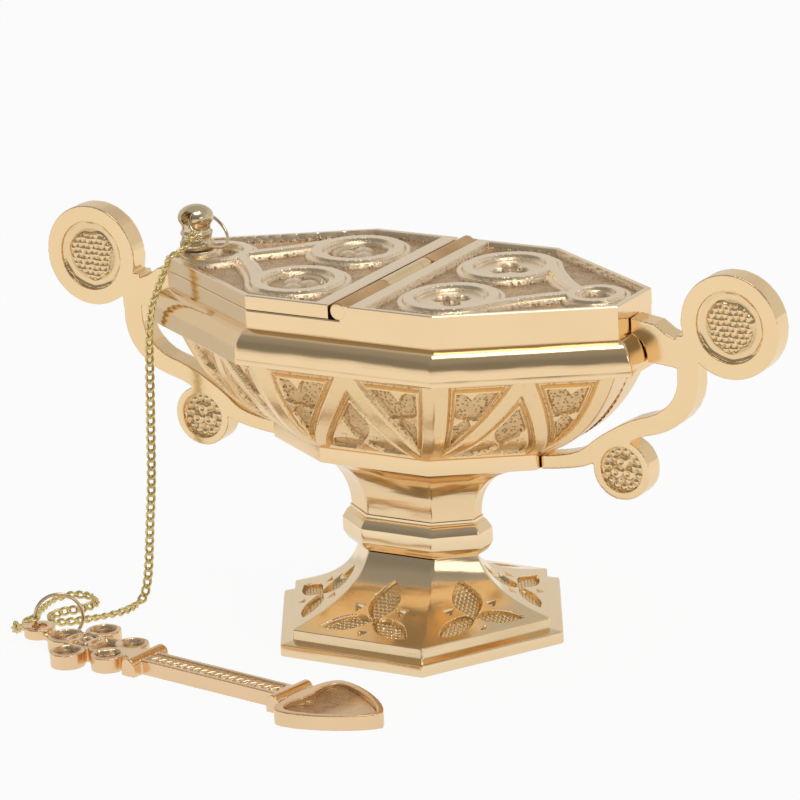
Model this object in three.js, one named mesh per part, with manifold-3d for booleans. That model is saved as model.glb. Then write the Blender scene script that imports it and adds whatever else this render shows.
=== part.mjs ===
// Incense boat in cast and polished brass, in millimetres, +Z up.
// An elongated octagonal bowl stands on a knop and a hollow hexagonal foot. Half of its flat lid lifts
// on a three-knuckle hinge, and a spoon lies beside it on a fine chain that starts at the lid's knob.
// The origin is on the table under the middle of the foot, and X runs along the bowl.
import * as THREE from 'three';
import { mergeVertices } from 'three/addons/utils/BufferGeometryUtils.js';
import Module from 'manifold-3d';

const wasm = await Module();
wasm.setup();

// Clearances
const seatGap = 0.3;
const runningGap = 0.35;

// Lid and rim, an octagon drawn out along X
const lidFlat = 26.15;
const lidDepth = 31.9;
const lidReach = 64;
const lidNose = 8.63;
const lidThickness = 3.5;
const rimHeight = 4.7;

// Cornice under the rim: an ovolo that swells outwards, then a flat fillet
const ovoloHeight = 6.7;
const ovoloSwell = 4.2;
const filletHeight = 1.5;

// Hull between the fillet and the lower band
const hullHeight = 24.8;
const hullInset = 0.045;
const wall = 2.4;
const hullSteps = 6;

// Strapwork on each hull face: grooves round three triangles, which leave a pointed strap and two posts.
// Widths are measured on a face laid out flat at its mean width
const postWidth = 2.3;
const strapHalfWidth = 1.5;
const hullMargin = 1.3;
const grooveWidth = 1.05;
const grooveDepth = 1.1;

// Lower band
const bandFlat = 15.2;
const bandDepth = 18.6;
const bandReach = 37.3;
const bandNose = 4.6;
const bandHeight = 4;
const bandLedge = 0.35;

// Stem: the neck under the bowl, and the knop
const stemFlat = 9.2;
const stemDepth = 8.4;
const stemReach = 17.6;
const stemNose = 2.2;
const neckHeight = 16;
const knopHeight = 9;
const knopSwell = 2.2;

// Foot: a plinth, a step and a concave flare
const plinthReach = 40.4;
const plinthHeight = 3.2;
const riserHeight = 0.4;
const stepReach = 36.8;
const stepHeight = 2.7;
const flareHeight = 14.2;
const flareFall = 5.6;
const collarFlat = 9.2;
const collarDepth = 8.9;
const collarReach = 17.2;
const footWall = 2.4;
const footRoof = 3.4;

// Rod that ties the foot, the knop and the bowl together
const rodRadius = 2.4;
const rodHeadRadius = 5;
const rodHeadHeight = 2.4;
const washerRadius = 6;
const washerHeight = 1.5;
const nutRadius = 4.6;
const nutHeight = 4;
const rodTail = 2;

// Lid pattern: raised rings and straps over a sunk ground, inside a plain border
const groundDepth = 1.75;
const borderWidth = 1.25;
const hingeBorder = 3.9;
const lidRingAt = [21.7, 14.5];
const lidRingRadius = 10.35;
const lidRingWidth = 2.6;
const lidStrapWidth = 2.4;
const strapStart = [30, 20.7];
const strapBend = [37.5, 9];
const strapEndSink = 0.6;
const strapEndSpread = 1.1;
const openingTip = { x: 54.4, radius: 8, width: 2.3 };
const fixedTip = { x: 53.5, radius: 6, width: 2.1 };

// Hinge across the middle of the lid
const barrelRadius = 2.2;
const barrelRise = 1.5;
const pinRadius = 0.9;
const knuckleShare = 1 / 3;
const lidEdgeGap = 0.6;
const leafHeight = 2.2;

// Knob on the opening half
const knobInset = 4;
const ballRadius = 4.5;
const ballHalfHeight = 3.2;
const ballHeight = 8.2;
const knobHoleHeight = 8.7;
const knobHoleRadius = 1.75;
const knobBaseRadius = 4.4;
const knobNeckRadius = 3.65;
const knobCollarRadius = 4.1;
const knobTailRadius = 1.5;
const knobBossRadius = 4.7;

// Ring through the ball
const knobRingRadius = 5.8;
const knobRingWire = 0.4;
const knobRingLean = 46;
const knobRingOffset = 0.85;

// Handles, which lie in the plane through the middle of the bowl
const handleThickness = 5.8;
const discRadius = 13;
const discRecessRadius = 8.9;
const discOut = 26.7;
const discRise = 4.4;
const scrollRadius = 7.7;
const scrollRecessRadius = 5.7;
const scrollOut = 22.7;
const scrollRise = 0.2;
const recessDepth = 1.1;
const screwRadius = 1.2;
const screwHeadRadius = 2.2;
const screwHeadHeight = 1.4;
const screwLength = 9;
const rootPinRadius = 0.7;
const rootPinLength = 9;

// Chain
const chainWidth = 2.2;

// Spoon: distances along it start at its eye
const spoonEye = [-82, -49.5];
const spoonTurn = -9.5;
const spoonThickness = 3.8;
const eyeRadius = 4;
const eyeHoleRadius = 1.95;
const eyeLift = 1.9;
const eyeThickness = 2.7;
const linkWidth = 4.4;
const plateMiddle = 15.7;
const coreRadius = 5.4;
const endLobeRadius = 5;
const endLobeOffset = 6.4;
const sideLobeRadius = 4.5;
const sideLobeOffset = 8;
const heelLobeRadius = 4.4;
const heelLobeOffset = 4.4;
const heelLobePlace = 27.3;
const spoonCollarWidth = 13;
const spoonCollarLength = 4.2;
const spoonCollarProud = 0.8;
const barStart = 33.5;
const barLength = 49.5;
const barWidth = 7;
const scoopLength = 27;
const scoopWidth = 24.6;
const scoopLip = 2;
const scoopDepth = 2;

// Ring through the spoon's eye
const spoonRingRadius = 6;
const spoonRingWire = 0.45;
const spoonRingTurn = 33;

// Heights worked out from the parts that stand on each other
const stepBase = plinthHeight + riserHeight;
const stepTop = stepBase + stepHeight;
const footTop = stepTop + flareHeight;
const knopBase = footTop + seatGap;
const knopTop = knopBase + knopHeight;
const neckBase = knopTop + seatGap;
const bandBase = neckBase + neckHeight;
const bandTop = bandBase + bandHeight;
const filletBase = bandTop + hullHeight;
const ovoloBase = filletBase + filletHeight;
const rimBase = ovoloBase + ovoloHeight;
const rimTop = rimBase + rimHeight;
const lidBase = rimTop + seatGap;
const lidTop = lidBase + lidThickness;
const cavityFloor = bandTop + 1;
const hingeHeight = lidTop - barrelRise;
const knobX = -(lidReach - knobInset);
const groundTop = lidTop - groundDepth;
const cutTop = lidTop + 2;
const cutBase = groundTop - 1;
const plateStart = plateMiddle - endLobeOffset - endLobeRadius;

// Materials
function brass(color, roughness, metalness = 1) {
  return new THREE.MeshStandardMaterial({ color, roughness, metalness });
}
const polishedBrass = brass(0xd9b26a, 0.22);
const castBrass = brass(0xcaa35c, 0.35);
const satinBrass = brass(0xd8bd92, 0.38);
const agedBrass = brass(0x8f7440, 0.4);
const chainBrass = brass(0xc9b45a, 0.3);
const spoonBrass = brass(0xcf9e62, 0.3);
const steel = brass(0x8d9094, 0.4);

// Solids: geometries become manifold solids to be joined and cut, and geometries again
function toSolid(geometry) {
  const bare = geometry.clone();
  bare.deleteAttribute('normal');
  bare.deleteAttribute('uv');
  const merged = mergeVertices(bare, 1e-5);
  const vertProperties = new Float32Array(merged.attributes.position.array);
  const triVerts = new Uint32Array(merged.index.array);
  return new wasm.Manifold(new wasm.Mesh({ numProp: 3, vertProperties, triVerts }));
}

function toGeometry(solid) {
  const mesh = solid.getMesh();
  const geometry = new THREE.BufferGeometry();
  geometry.setAttribute('position', new THREE.BufferAttribute(mesh.vertProperties, 3));
  geometry.setIndex(new THREE.BufferAttribute(mesh.triVerts, 1));
  geometry.computeVertexNormals();
  return geometry;
}

function piece(name, solid, material) {
  const mesh = new THREE.Mesh(toGeometry(solid), material);
  mesh.name = name;
  return mesh;
}

function unite(...solids) {
  return solids.reduce((whole, next) => whole.add(next));
}

// Sections of the bowl, stem and foot seen from above: an octagon with long front faces, slanting
// side faces and narrow end faces, or a hexagon where the end faces have no width
function octagon(flat, depth, reach, nose) {
  return { flat, depth, reach, nose };
}

function mix(from, to, share) {
  const between = (key) => from[key] + (to[key] - from[key]) * share;
  return octagon(between('flat'), between('depth'), between('reach'), between('nose'));
}

// The same section with every face moved outwards by a distance
function grow(section, distance) {
  const { flat, depth, reach, nose } = section;
  const normal = new THREE.Vector2(depth - nose, reach - flat).normalize();
  const line = normal.x * flat + normal.y * depth + distance;
  const newDepth = depth + distance;
  const newReach = reach + distance;
  if (nose === 0) {
    return octagon((line - normal.y * newDepth) / normal.x, newDepth, line / normal.x, 0);
  }
  const newNose = (line - normal.x * newReach) / normal.y;
  return octagon((line - normal.y * newDepth) / normal.x, newDepth, newReach, newNose);
}

function outline({ flat, depth, reach, nose }) {
  const front = [[-flat, -depth], [flat, -depth]];
  const back = [[flat, depth], [-flat, depth]];
  if (nose === 0) {
    return [...front, [reach, 0], ...back, [-reach, 0]];
  }
  return [...front, [reach, -nose], [reach, nose], ...back, [-reach, nose], [-reach, -nose]];
}

// A closed body through sections that lie one above the other, from the lowest up
function loft(levels) {
  const rings = levels.map(({ section, z }) => outline(section).map(([x, y]) => [x, y, z]));
  const count = rings[0].length;
  const index = [];
  for (let level = 0; level + 1 < rings.length; level += 1) {
    for (let side = 0; side < count; side += 1) {
      const next = (side + 1) % count;
      const low = level * count;
      const high = low + count;
      index.push(low + side, low + next, high + next, low + side, high + next, high + side);
    }
  }
  const top = (rings.length - 1) * count;
  for (let side = 1; side + 1 < count; side += 1) {
    index.push(0, side + 1, side);
    index.push(top, top + side, top + side + 1);
  }
  const geometry = new THREE.BufferGeometry();
  geometry.setAttribute('position', new THREE.Float32BufferAttribute(rings.flat(2), 3));
  geometry.setIndex(index);
  return toSolid(geometry);
}

function block(x, y, z) {
  const size = [x[1] - x[0], y[1] - y[0], z[1] - z[0]];
  const geometry = new THREE.BoxGeometry(...size);
  geometry.translate((x[0] + x[1]) / 2, (y[0] + y[1]) / 2, (z[0] + z[1]) / 2);
  return toSolid(geometry);
}

// Upright round bar between two heights
function upright(radius, low, high, sides = 24, at = [0, 0]) {
  const geometry = new THREE.CylinderGeometry(radius, radius, high - low, sides);
  geometry.rotateX(Math.PI / 2);
  geometry.translate(at[0], at[1], (low + high) / 2);
  return toSolid(geometry);
}

// Round bar along Y or X, between two places on that axis
function barAlongY(radius, from, to, x, z, sides = 20) {
  const geometry = new THREE.CylinderGeometry(radius, radius, to - from, sides);
  geometry.translate(x, (from + to) / 2, z);
  return toSolid(geometry);
}

function barAlongX(radius, from, to, z, sides = 12) {
  const geometry = new THREE.CylinderGeometry(radius, radius, to - from, sides);
  geometry.rotateZ(Math.PI / 2);
  geometry.translate((from + to) / 2, 0, z);
  return toSolid(geometry);
}

// A flat outline drawn in X and Z, given a thickness through Y on both sides of the middle plane
function flatCasting(points, thickness) {
  const shape = new THREE.Shape(points.map(([x, z]) => new THREE.Vector2(x, z)));
  const geometry = new THREE.ExtrudeGeometry(shape, { depth: thickness, bevelEnabled: false });
  geometry.rotateX(Math.PI / 2);
  geometry.translate(0, thickness / 2, 0);
  return toSolid(geometry);
}

// A flat outline drawn from above, between two heights
function plateFrom(shape, low, high, curveSegments = 12) {
  const options = { depth: high - low, bevelEnabled: false, curveSegments };
  const geometry = new THREE.ExtrudeGeometry(shape, options);
  geometry.translate(0, 0, low);
  return toSolid(geometry);
}

// Wire ring in the plane of two directions
function wireRing(centre, radius, wire, across, up, sides = 28) {
  const geometry = new THREE.TorusGeometry(radius, wire, 8, sides);
  const normal = new THREE.Vector3().crossVectors(across, up);
  geometry.applyMatrix4(new THREE.Matrix4().makeBasis(across, up, normal));
  geometry.translate(centre.x, centre.y, centre.z);
  return toSolid(geometry);
}

// A tube that follows a smooth line through points chosen by hand
function tube(points, width) {
  const line = new THREE.CatmullRomCurve3(points.map((point) => new THREE.Vector3(...point)));
  const section = new THREE.Shape();
  for (let side = 0; side < 8; side += 1) {
    const angle = (side + 0.5) * Math.PI / 4;
    const corner = [Math.cos(angle) * width / 2, Math.sin(angle) * width / 2];
    if (side === 0) section.moveTo(...corner);
    else section.lineTo(...corner);
  }
  const steps = Math.max(4, Math.round(line.getLength() / (2.2 * width)));
  const geometry = new THREE.ExtrudeGeometry(section, { steps, extrudePath: line });
  return toSolid(geometry);
}

// The bowl's sections
const rimSection = octagon(lidFlat, lidDepth, lidReach, lidNose);
const bandSection = octagon(bandFlat, bandDepth, bandReach, bandNose);
const stemSection = octagon(stemFlat, stemDepth, stemReach, stemNose);
const hullLine = new THREE.QuadraticBezierCurve(
  new THREE.Vector2(0.01, bandTop),
  new THREE.Vector2(0.67, bandTop + 0.2 * hullHeight),
  new THREE.Vector2(1 - hullInset, filletBase),
);
const neckLine = new THREE.CubicBezierCurve(
  new THREE.Vector2(0, neckBase),
  new THREE.Vector2(0, neckBase + 0.5 * neckHeight),
  new THREE.Vector2(0.25, neckBase + 0.86 * neckHeight),
  new THREE.Vector2(1, bandBase),
);

function hullLevels(distance, steps) {
  return hullLine.getPoints(steps).map(({ x: share, y: z }) => {
    return { section: grow(mix(bandSection, rimSection, share), distance), z };
  });
}

// A hull face laid out flat: its share of the way along the face and up it, from lengths in millimetres
const hullSides = [0, 1, 2, 3, 4, 5, 6, 7];

function faceEnds(side, section) {
  const corners = outline(section);
  return [new THREE.Vector2(...corners[side]), new THREE.Vector2(...corners[(side + 1) % corners.length])];
}

function faceSize(side) {
  const [lowStart, lowEnd] = faceEnds(side, bandSection);
  const [highStart, highEnd] = faceEnds(side, rimSection);
  const low = lowStart.clone().add(lowEnd).divideScalar(2);
  const high = highStart.clone().add(highEnd).divideScalar(2);
  const width = (lowStart.distanceTo(lowEnd) + highStart.distanceTo(highEnd)) / 2;
  return { width, length: Math.hypot(low.distanceTo(high), hullHeight) };
}

// Triangles between the posts and the pointed strap, or one triangle on a narrow end face
function facePanels({ width, length }) {
  const low = hullMargin;
  const high = length - hullMargin;
  const edge = width / 2 - postWidth;
  if (edge < 2 * postWidth + 1) {
    return [[[-edge, low], [edge, low], [0, high]]];
  }
  const lean = strapHalfWidth * Math.hypot(width / 2, length) / length;
  const tip = 1.6 * strapHalfWidth;
  return [
    [[-edge + lean, low], [edge - lean, low], [0, high - tip]],
    [[-edge, high], [-edge, low + tip], [-lean, high]],
    [[edge, high], [lean, high], [edge, low + tip]],
  ];
}

// The triangle drawn in by a distance from all its sides
function drawnIn(corners, distance) {
  const points = corners.map((corner) => new THREE.Vector2(...corner));
  const opposite = points.map((_, place) => points[(place + 1) % 3].distanceTo(points[(place + 2) % 3]));
  const around = opposite[0] + opposite[1] + opposite[2];
  const centre = new THREE.Vector2();
  points.forEach((point, place) => centre.addScaledVector(point, opposite[place] / around));
  const [a, b, c] = points;
  const area = Math.abs((b.x - a.x) * (c.y - a.y) - (c.x - a.x) * (b.y - a.y)) / 2;
  const share = 1 - distance * around / (2 * area);
  return points.map((point) => point.clone().lerp(centre, 1 - share).toArray());
}

function hullSolid(distance) {
  return loft(hullLevels(distance, hullSteps));
}

// Grooves of one face, cut square to the face through a thin skin of the hull
function faceGrooves(side) {
  const size = faceSize(side);
  const [start, end] = faceEnds(side, bandSection);
  const along = end.clone().sub(start).normalize();
  const place = ([x, y]) => {
    const { x: share, y: z } = hullLine.getPoint(y / size.length);
    const [from, to] = faceEnds(side, mix(bandSection, rimSection, share));
    return new THREE.Vector2(from.lerp(to, x / size.width + 0.5).dot(along), z);
  };
  const bentEdges = (corners) => corners.flatMap((corner, number) => {
    const next = corners[(number + 1) % 3];
    const level = Math.abs(next[1] - corner[1]) < 1e-6;
    return (level ? [0] : [0, 0.5]).map((share) => {
      return place([corner[0] + (next[0] - corner[0]) * share, corner[1] + (next[1] - corner[1]) * share]);
    });
  });
  const out = new THREE.Vector3(along.y, -along.x, 0);
  const direction = new THREE.Vector3(along.x, along.y, 0);
  const through = (corners) => {
    const shape = new THREE.Shape(bentEdges(corners));
    const geometry = new THREE.ExtrudeGeometry(shape, { depth: lidReach, bevelEnabled: false });
    geometry.translate(0, 0, bandDepth / 2);
    geometry.applyMatrix4(new THREE.Matrix4().makeBasis(direction, new THREE.Vector3(0, 0, 1), out));
    return toSolid(geometry);
  };
  return facePanels(size).map((corners) => {
    return through(corners).subtract(through(drawnIn(corners, grooveWidth)));
  });
}

function makeStrapwork() {
  const skin = hullSolid(1).subtract(hullSolid(-grooveDepth));
  return skin.intersect(unite(...hullSides.flatMap(faceGrooves)));
}

function corniceLevels(distance) {
  const quarter = [0, 0.3, 0.55, 0.78, 1];
  const swell = quarter.map((share) => {
    const z = ovoloBase + share * ovoloHeight;
    return { section: grow(rimSection, distance + ovoloSwell * Math.sqrt(1 - share ** 2) + 0.01), z };
  });
  return [
    { section: grow(rimSection, distance + ovoloSwell), z: filletBase + 0.01 },
    ...swell,
  ];
}

// The bowl's outside, moved outwards by a distance, from the neck to the rim
function bowlOutside(distance) {
  const neck = neckLine.getPoints(9).map(({ x: share, y: z }) => {
    return { section: grow(mix(stemSection, bandSection, share), distance), z };
  });
  const band = grow(bandSection, distance + bandLedge);
  return loft([
    ...neck,
    { section: band, z: bandBase + 0.01 },
    { section: band, z: bandTop - 0.01 },
    ...hullLevels(distance, hullSteps),
    ...corniceLevels(distance),
    { section: grow(rimSection, distance), z: rimBase + 0.01 },
    { section: grow(rimSection, distance), z: rimTop },
  ]);
}

function makeBowl() {
  const hullInside = hullLevels(-wall, hullSteps).filter(({ z }) => z > cavityFloor);
  const first = hullInside[0];
  const inside = loft([
    { section: first.section, z: cavityFloor },
    ...hullInside,
    { section: grow(rimSection, -wall), z: ovoloBase },
    { section: grow(rimSection, -wall), z: rimTop + 1 },
  ]);
  let body = bowlOutside(0).subtract(inside).subtract(makeStrapwork());
  body = body.subtract(upright(rodRadius + seatGap, neckBase - 1, cavityFloor + 1));
  for (const side of [-1, 1]) {
    const screwStart = lidReach - wall - 2;
    body = body.subtract(alongSide(side, screwRadius + seatGap, screwStart, screwEnd, screwHeight));
    body = body.subtract(alongSide(side, rootPinRadius + seatGap, rootPinStart, bandReach + 1, rootHeight));
  }
  return piece('bowl', body, polishedBrass);
}

// Knop: a small step at the top, a slope to a sharp edge, an upright band and an undercut
function makeKnop() {
  const turns = [
    [0, 0], [0.5, 0.08], [1, 0.3], [1, 0.66], [0.42, 0.88], [0.16, 0.92], [0.16, 1],
  ];
  const levels = turns.map(([swell, share]) => {
    return { section: grow(stemSection, swell * knopSwell), z: knopBase + share * knopHeight };
  });
  const bore = upright(rodRadius + seatGap, knopBase - 1, knopTop + 1);
  return piece('knop', loft(levels).subtract(bore), castBrass);
}

// Foot: the flare is drawn in quickly at first, then slowly towards the knop
const plinthSection = octagon(plinthReach / 2, plinthReach * Math.sqrt(0.75), plinthReach, 0);
const stepSection = octagon(stepReach / 2, stepReach * Math.sqrt(0.75), stepReach, 0);
const collarSection = octagon(collarFlat, collarDepth, collarReach, 0);

function flareLevels(distance, steps) {
  const last = Math.exp(-flareHeight / flareFall);
  return Array.from({ length: steps + 1 }, (_, step) => {
    const z = stepTop + flareHeight * (step / steps) ** 1.5;
    const share = (Math.exp(-(z - stepTop) / flareFall) - last) / (1 - last);
    return { section: grow(mix(collarSection, stepSection, share), distance), z };
  });
}

function makeFoot() {
  const outside = loft([
    { section: plinthSection, z: 0 },
    { section: plinthSection, z: plinthHeight },
    { section: stepSection, z: stepBase },
    ...flareLevels(0, 10),
  ]);
  const roof = footTop - footRoof;
  const inner = flareLevels(-footWall, 10).filter(({ z }) => z < roof);
  const inside = loft([
    { section: grow(plinthSection, -footWall - 1), z: -1 },
    { section: grow(stepSection, -footWall), z: stepBase },
    ...inner,
    { section: inner[inner.length - 1].section, z: roof },
  ]);
  const bore = upright(rodRadius + seatGap, 0, footTop + 1);
  return piece('foot', outside.subtract(inside).subtract(bore), polishedBrass);
}

// Tie rod with its head on the bowl's floor, and the washer and nut up inside the foot
function makeRodParts() {
  const washerTop = footTop - footRoof - seatGap;
  const washerBase = washerTop - washerHeight;
  const nutTop = washerBase - seatGap;
  const nutBase = nutTop - nutHeight;
  const headBase = cavityFloor + seatGap;
  const shank = upright(rodRadius, nutBase - rodTail, headBase + 0.5);
  const head = upright(rodHeadRadius, headBase, headBase + rodHeadHeight);
  const bore = upright(rodRadius + seatGap, 0, footTop);
  const washer = upright(washerRadius, washerBase, washerTop).subtract(bore);
  const nut = upright(nutRadius, nutBase, nutTop, 6).subtract(bore);
  return [
    piece('tie_rod', shank.add(head), castBrass),
    piece('foot_washer', washer, steel),
    piece('foot_nut', nut, steel),
  ];
}

// Raised pattern of a lid half: two rings, a smaller ring near the end and a bowed strap from each ring
function ringWall(at, radius, width, sides) {
  const hole = upright(radius - width / 2, cutBase - 1, cutTop + 1, sides, at);
  return upright(radius + width / 2, cutBase, cutTop, sides, at).subtract(hole);
}

function strapWall(side, half, tip) {
  const line = new THREE.QuadraticBezierCurve(
    new THREE.Vector2(...strapStart),
    new THREE.Vector2(...strapBend),
    new THREE.Vector2(tip.x - tip.radius + strapEndSink, strapEndSpread),
  );
  const outer = [];
  const inner = [];
  const steps = 5;
  for (let step = 0; step <= steps; step += 1) {
    const at = line.getPoint(step / steps);
    const heading = line.getTangent(step / steps);
    const across = new THREE.Vector2(-heading.y, heading.x).multiplyScalar(lidStrapWidth / 2);
    outer.push(at.clone().add(across));
    inner.unshift(at.clone().sub(across));
  }
  const corners = [...outer, ...inner].map(({ x, y }) => new THREE.Vector2(side * x, half * y));
  return plateFrom(new THREE.Shape(corners), cutBase, cutTop);
}

function lidField(side) {
  const tip = side > 0 ? fixedTip : openingTip;
  const inner = grow(rimSection, -borderWidth);
  const open = loft([{ section: inner, z: groundTop }, { section: inner, z: lidTop + 1 }]);
  const edge = side * (barrelRadius + lidEdgeGap + hingeBorder);
  const far = side * lidReach;
  const along = [Math.min(edge, far), Math.max(edge, far)];
  const half = block(along, [-lidDepth, lidDepth], [cutBase, cutTop]);
  const [ringX, ringY] = lidRingAt;
  const raised = unite(
    ringWall([side * ringX, -ringY], lidRingRadius, lidRingWidth, 32),
    ringWall([side * ringX, ringY], lidRingRadius, lidRingWidth, 32),
    ringWall([side * tip.x, 0], tip.radius, tip.width, 24),
    strapWall(side, -1, tip),
    strapWall(side, 1, tip),
  );
  const field = open.intersect(half).subtract(raised);
  return side > 0 ? field : field.subtract(upright(knobBossRadius, cutBase, cutTop, 24, [knobX, 0]));
}

// Lid halves
function lidPlate(side) {
  const plate = loft([{ section: rimSection, z: lidBase }, { section: rimSection, z: lidTop }]);
  const edge = side * (barrelRadius + lidEdgeGap);
  const far = side * (lidReach + 1);
  const half = block([Math.min(edge, far), Math.max(edge, far)], [-lidDepth, lidDepth], [lidBase, lidTop]);
  return plate.intersect(half).subtract(lidField(side));
}

// Hinge: three knuckles share the lid's width, and each has a leaf that joins its own half
const knuckleEdges = [
  [-lidDepth, -lidDepth + 2 * lidDepth * knuckleShare],
  [-lidDepth + 2 * lidDepth * knuckleShare, lidDepth - 2 * lidDepth * knuckleShare],
  [lidDepth - 2 * lidDepth * knuckleShare, lidDepth],
];
const knuckleNames = ['hinge_knuckle_front', 'hinge_knuckle_middle', 'hinge_knuckle_rear'];
const knuckleSides = [1, -1, 1];

function makeKnuckle(place) {
  const [front, back] = knuckleEdges[place];
  const from = place === 0 ? front : front + runningGap / 2;
  const to = place === 2 ? back : back - runningGap / 2;
  const side = knuckleSides[place];
  const reach = barrelRadius + lidEdgeGap - seatGap;
  const leafBase = hingeHeight - leafHeight / 2;
  const leaf = block([Math.min(0, side * reach), Math.max(0, side * reach)], [from, to],
    [leafBase, leafBase + leafHeight]);
  const barrel = barAlongY(barrelRadius, from, to, 0, hingeHeight);
  const bore = barAlongY(pinRadius + seatGap, -lidDepth - 1, lidDepth + 1, 0, hingeHeight);
  return piece(knuckleNames[place], barrel.add(leaf).subtract(bore), castBrass);
}

function makeHingePin() {
  const pin = barAlongY(pinRadius, -lidDepth, lidDepth, 0, hingeHeight);
  return piece('hinge_pin', pin, agedBrass);
}

// Knob: squat ball on a neck, a collar and a flared base, with a tail through the lid
const holeCentre = new THREE.Vector3(knobX, 0, lidTop + knobHoleHeight);

function makeKnob() {
  const base = seatGap;
  const profile = [
    [0, -lidThickness + 0.2], [knobTailRadius, -lidThickness + 0.2], [knobTailRadius, base],
    [knobBaseRadius, base], [knobBaseRadius, 1.7], [knobNeckRadius + 0.5, 2.3],
    [knobNeckRadius + 0.15, 3], [knobNeckRadius + 0.15, 3.6], [knobCollarRadius, 3.95],
    [knobCollarRadius, 4.45], [knobNeckRadius, 4.8], [knobNeckRadius, 6.1],
  ];
  const seat = Math.asin((knobNeckRadius + 0.2) / ballRadius);
  for (let step = 0; step <= 10; step += 1) {
    const angle = Math.PI - seat - (Math.PI - seat) * step / 10;
    profile.push([ballRadius * Math.sin(angle), ballHeight + ballHalfHeight * Math.cos(angle)]);
  }
  profile[profile.length - 1][0] = 0;
  const points = profile.map(([radius, height]) => new THREE.Vector2(radius, height));
  const geometry = new THREE.LatheGeometry(points, 24);
  geometry.rotateX(Math.PI / 2);
  geometry.translate(knobX, 0, lidTop);
  const hole = barAlongY(knobHoleRadius, -ballRadius - 1, ballRadius + 1, knobX, holeCentre.z, 20);
  return piece('knob', toSolid(geometry).subtract(hole), agedBrass);
}

function makeKnobRing() {
  const lean = THREE.MathUtils.degToRad(knobRingLean);
  const down = new THREE.Vector3(Math.sin(lean), 0, -Math.cos(lean));
  const centre = holeCentre.clone().addScaledVector(down, knobRingRadius - knobRingOffset);
  const solid = wireRing(centre, knobRingRadius, knobRingWire, down, new THREE.Vector3(0, 1, 0));
  return piece('knob_ring', solid, agedBrass);
}

// Handles: one casting, used at both ends
const rootHeight = bandBase + bandHeight * 0.4;
const screwHeight = rimBase - 2.4;
const screwEnd = lidReach - wall + screwLength;
const rootPinStart = bandReach - rootPinLength / 2;

function alongSide(side, radius, from, to, z) {
  return barAlongX(radius, Math.min(side * from, side * to), Math.max(side * from, side * to), z);
}

// The stem's middle line: distance out, height and width, first from the rim and then from the band
function stemOutline() {
  const fromRim = [
    [15.1, 1, 5.6], [15.1, -1, 5.6], [14.9, -9, 5.3], [14.6, -13, 5.4], [12.4, -17.6, 5.4], [7.5, -21.5, 5],
    [-0.5, -24.3, 4.6],
  ];
  const fromBand = [[17.7, 5.9, 5], [12.7, 2.5, 4.2], [7.7, 1, 3.6], [1, 0, 3.4], [-3, -0.2, 3.4]];
  const points = [
    ...fromRim.map(([out, up, width]) => new THREE.Vector3(lidReach + out, rimBase + up, width)),
    ...fromBand.map(([out, up, width]) => new THREE.Vector3(bandReach + out, rootHeight + up, width)),
  ];
  const line = new THREE.CatmullRomCurve3(points);
  const outer = [];
  const inner = [];
  const steps = 26;
  for (let step = 0; step <= steps; step += 1) {
    const place = line.getPointAt(step / steps);
    const heading = line.getTangentAt(step / steps);
    const across = new THREE.Vector2(-heading.y, heading.x).normalize().multiplyScalar(place.z / 2);
    outer.push([place.x + across.x, place.y + across.y]);
    inner.unshift([place.x - across.x, place.y - across.y]);
  }
  return [...outer, ...inner];
}

function makeHandleSolid() {
  const half = handleThickness / 2;
  const discX = lidReach + discOut;
  const discZ = rimBase + discRise;
  const scrollX = bandReach + scrollOut;
  const scrollZ = rootHeight + scrollRise + 0.4;
  const strut = [
    [lidReach - 1, rimBase - 6], [lidReach + 14, rimBase - 7.5], [lidReach + 15.5, rimBase - 0.5],
    [lidReach + 13.3, rimBase - 0.4], [lidReach + 9.6, rimBase + 1], [lidReach + 6.6, rimBase + 3.1],
    [lidReach - 1, rimBase + 4.3],
  ];
  let body = unite(
    flatCasting(stemOutline(), handleThickness),
    flatCasting(strut, handleThickness),
    barAlongY(discRadius, -half, half, discX, discZ, 44),
    barAlongY(scrollRadius, -half, half, scrollX, scrollZ, 30),
  );
  for (const face of [-1, 1]) {
    const floor = face * (half - recessDepth);
    const open = face * (half + 1);
    const [from, to] = [Math.min(floor, open), Math.max(floor, open)];
    body = body.subtract(barAlongY(discRecessRadius, from, to, discX, discZ, 32));
    body = body.subtract(barAlongY(scrollRecessRadius, from, to, scrollX, scrollZ, 24));
  }
  body = body.subtract(bowlOutside(seatGap));
  body = body.subtract(barAlongX(screwRadius + seatGap, lidReach - wall, screwEnd + seatGap, screwHeight));
  const pinHole = barAlongX(rootPinRadius + seatGap, bandReach - 1, rootPinStart + rootPinLength + seatGap,
    rootHeight);
  return body.subtract(pinHole);
}

function makeHandleParts() {
  const casting = makeHandleSolid();
  const pieces = [];
  for (const [side, word] of [[-1, 'left'], [1, 'right']]) {
    const turned = side === 1 ? casting : casting.rotate([0, 0, 180]);
    const headStart = lidReach - wall - seatGap - screwHeadHeight;
    const screw = unite(
      alongSide(side, screwHeadRadius, headStart, headStart + screwHeadHeight, screwHeight),
      alongSide(side, screwRadius, headStart + 0.5, screwEnd, screwHeight),
    );
    const pinEnd = rootPinStart + rootPinLength;
    const pin = alongSide(side, rootPinRadius, rootPinStart + seatGap, pinEnd, rootHeight);
    pieces.push(piece(`${word}_handle`, turned, polishedBrass));
    pieces.push(piece(`${word}_handle_screw`, screw, castBrass));
    pieces.push(piece(`${word}_handle_pin`, pin, castBrass));
  }
  return pieces;
}

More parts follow.
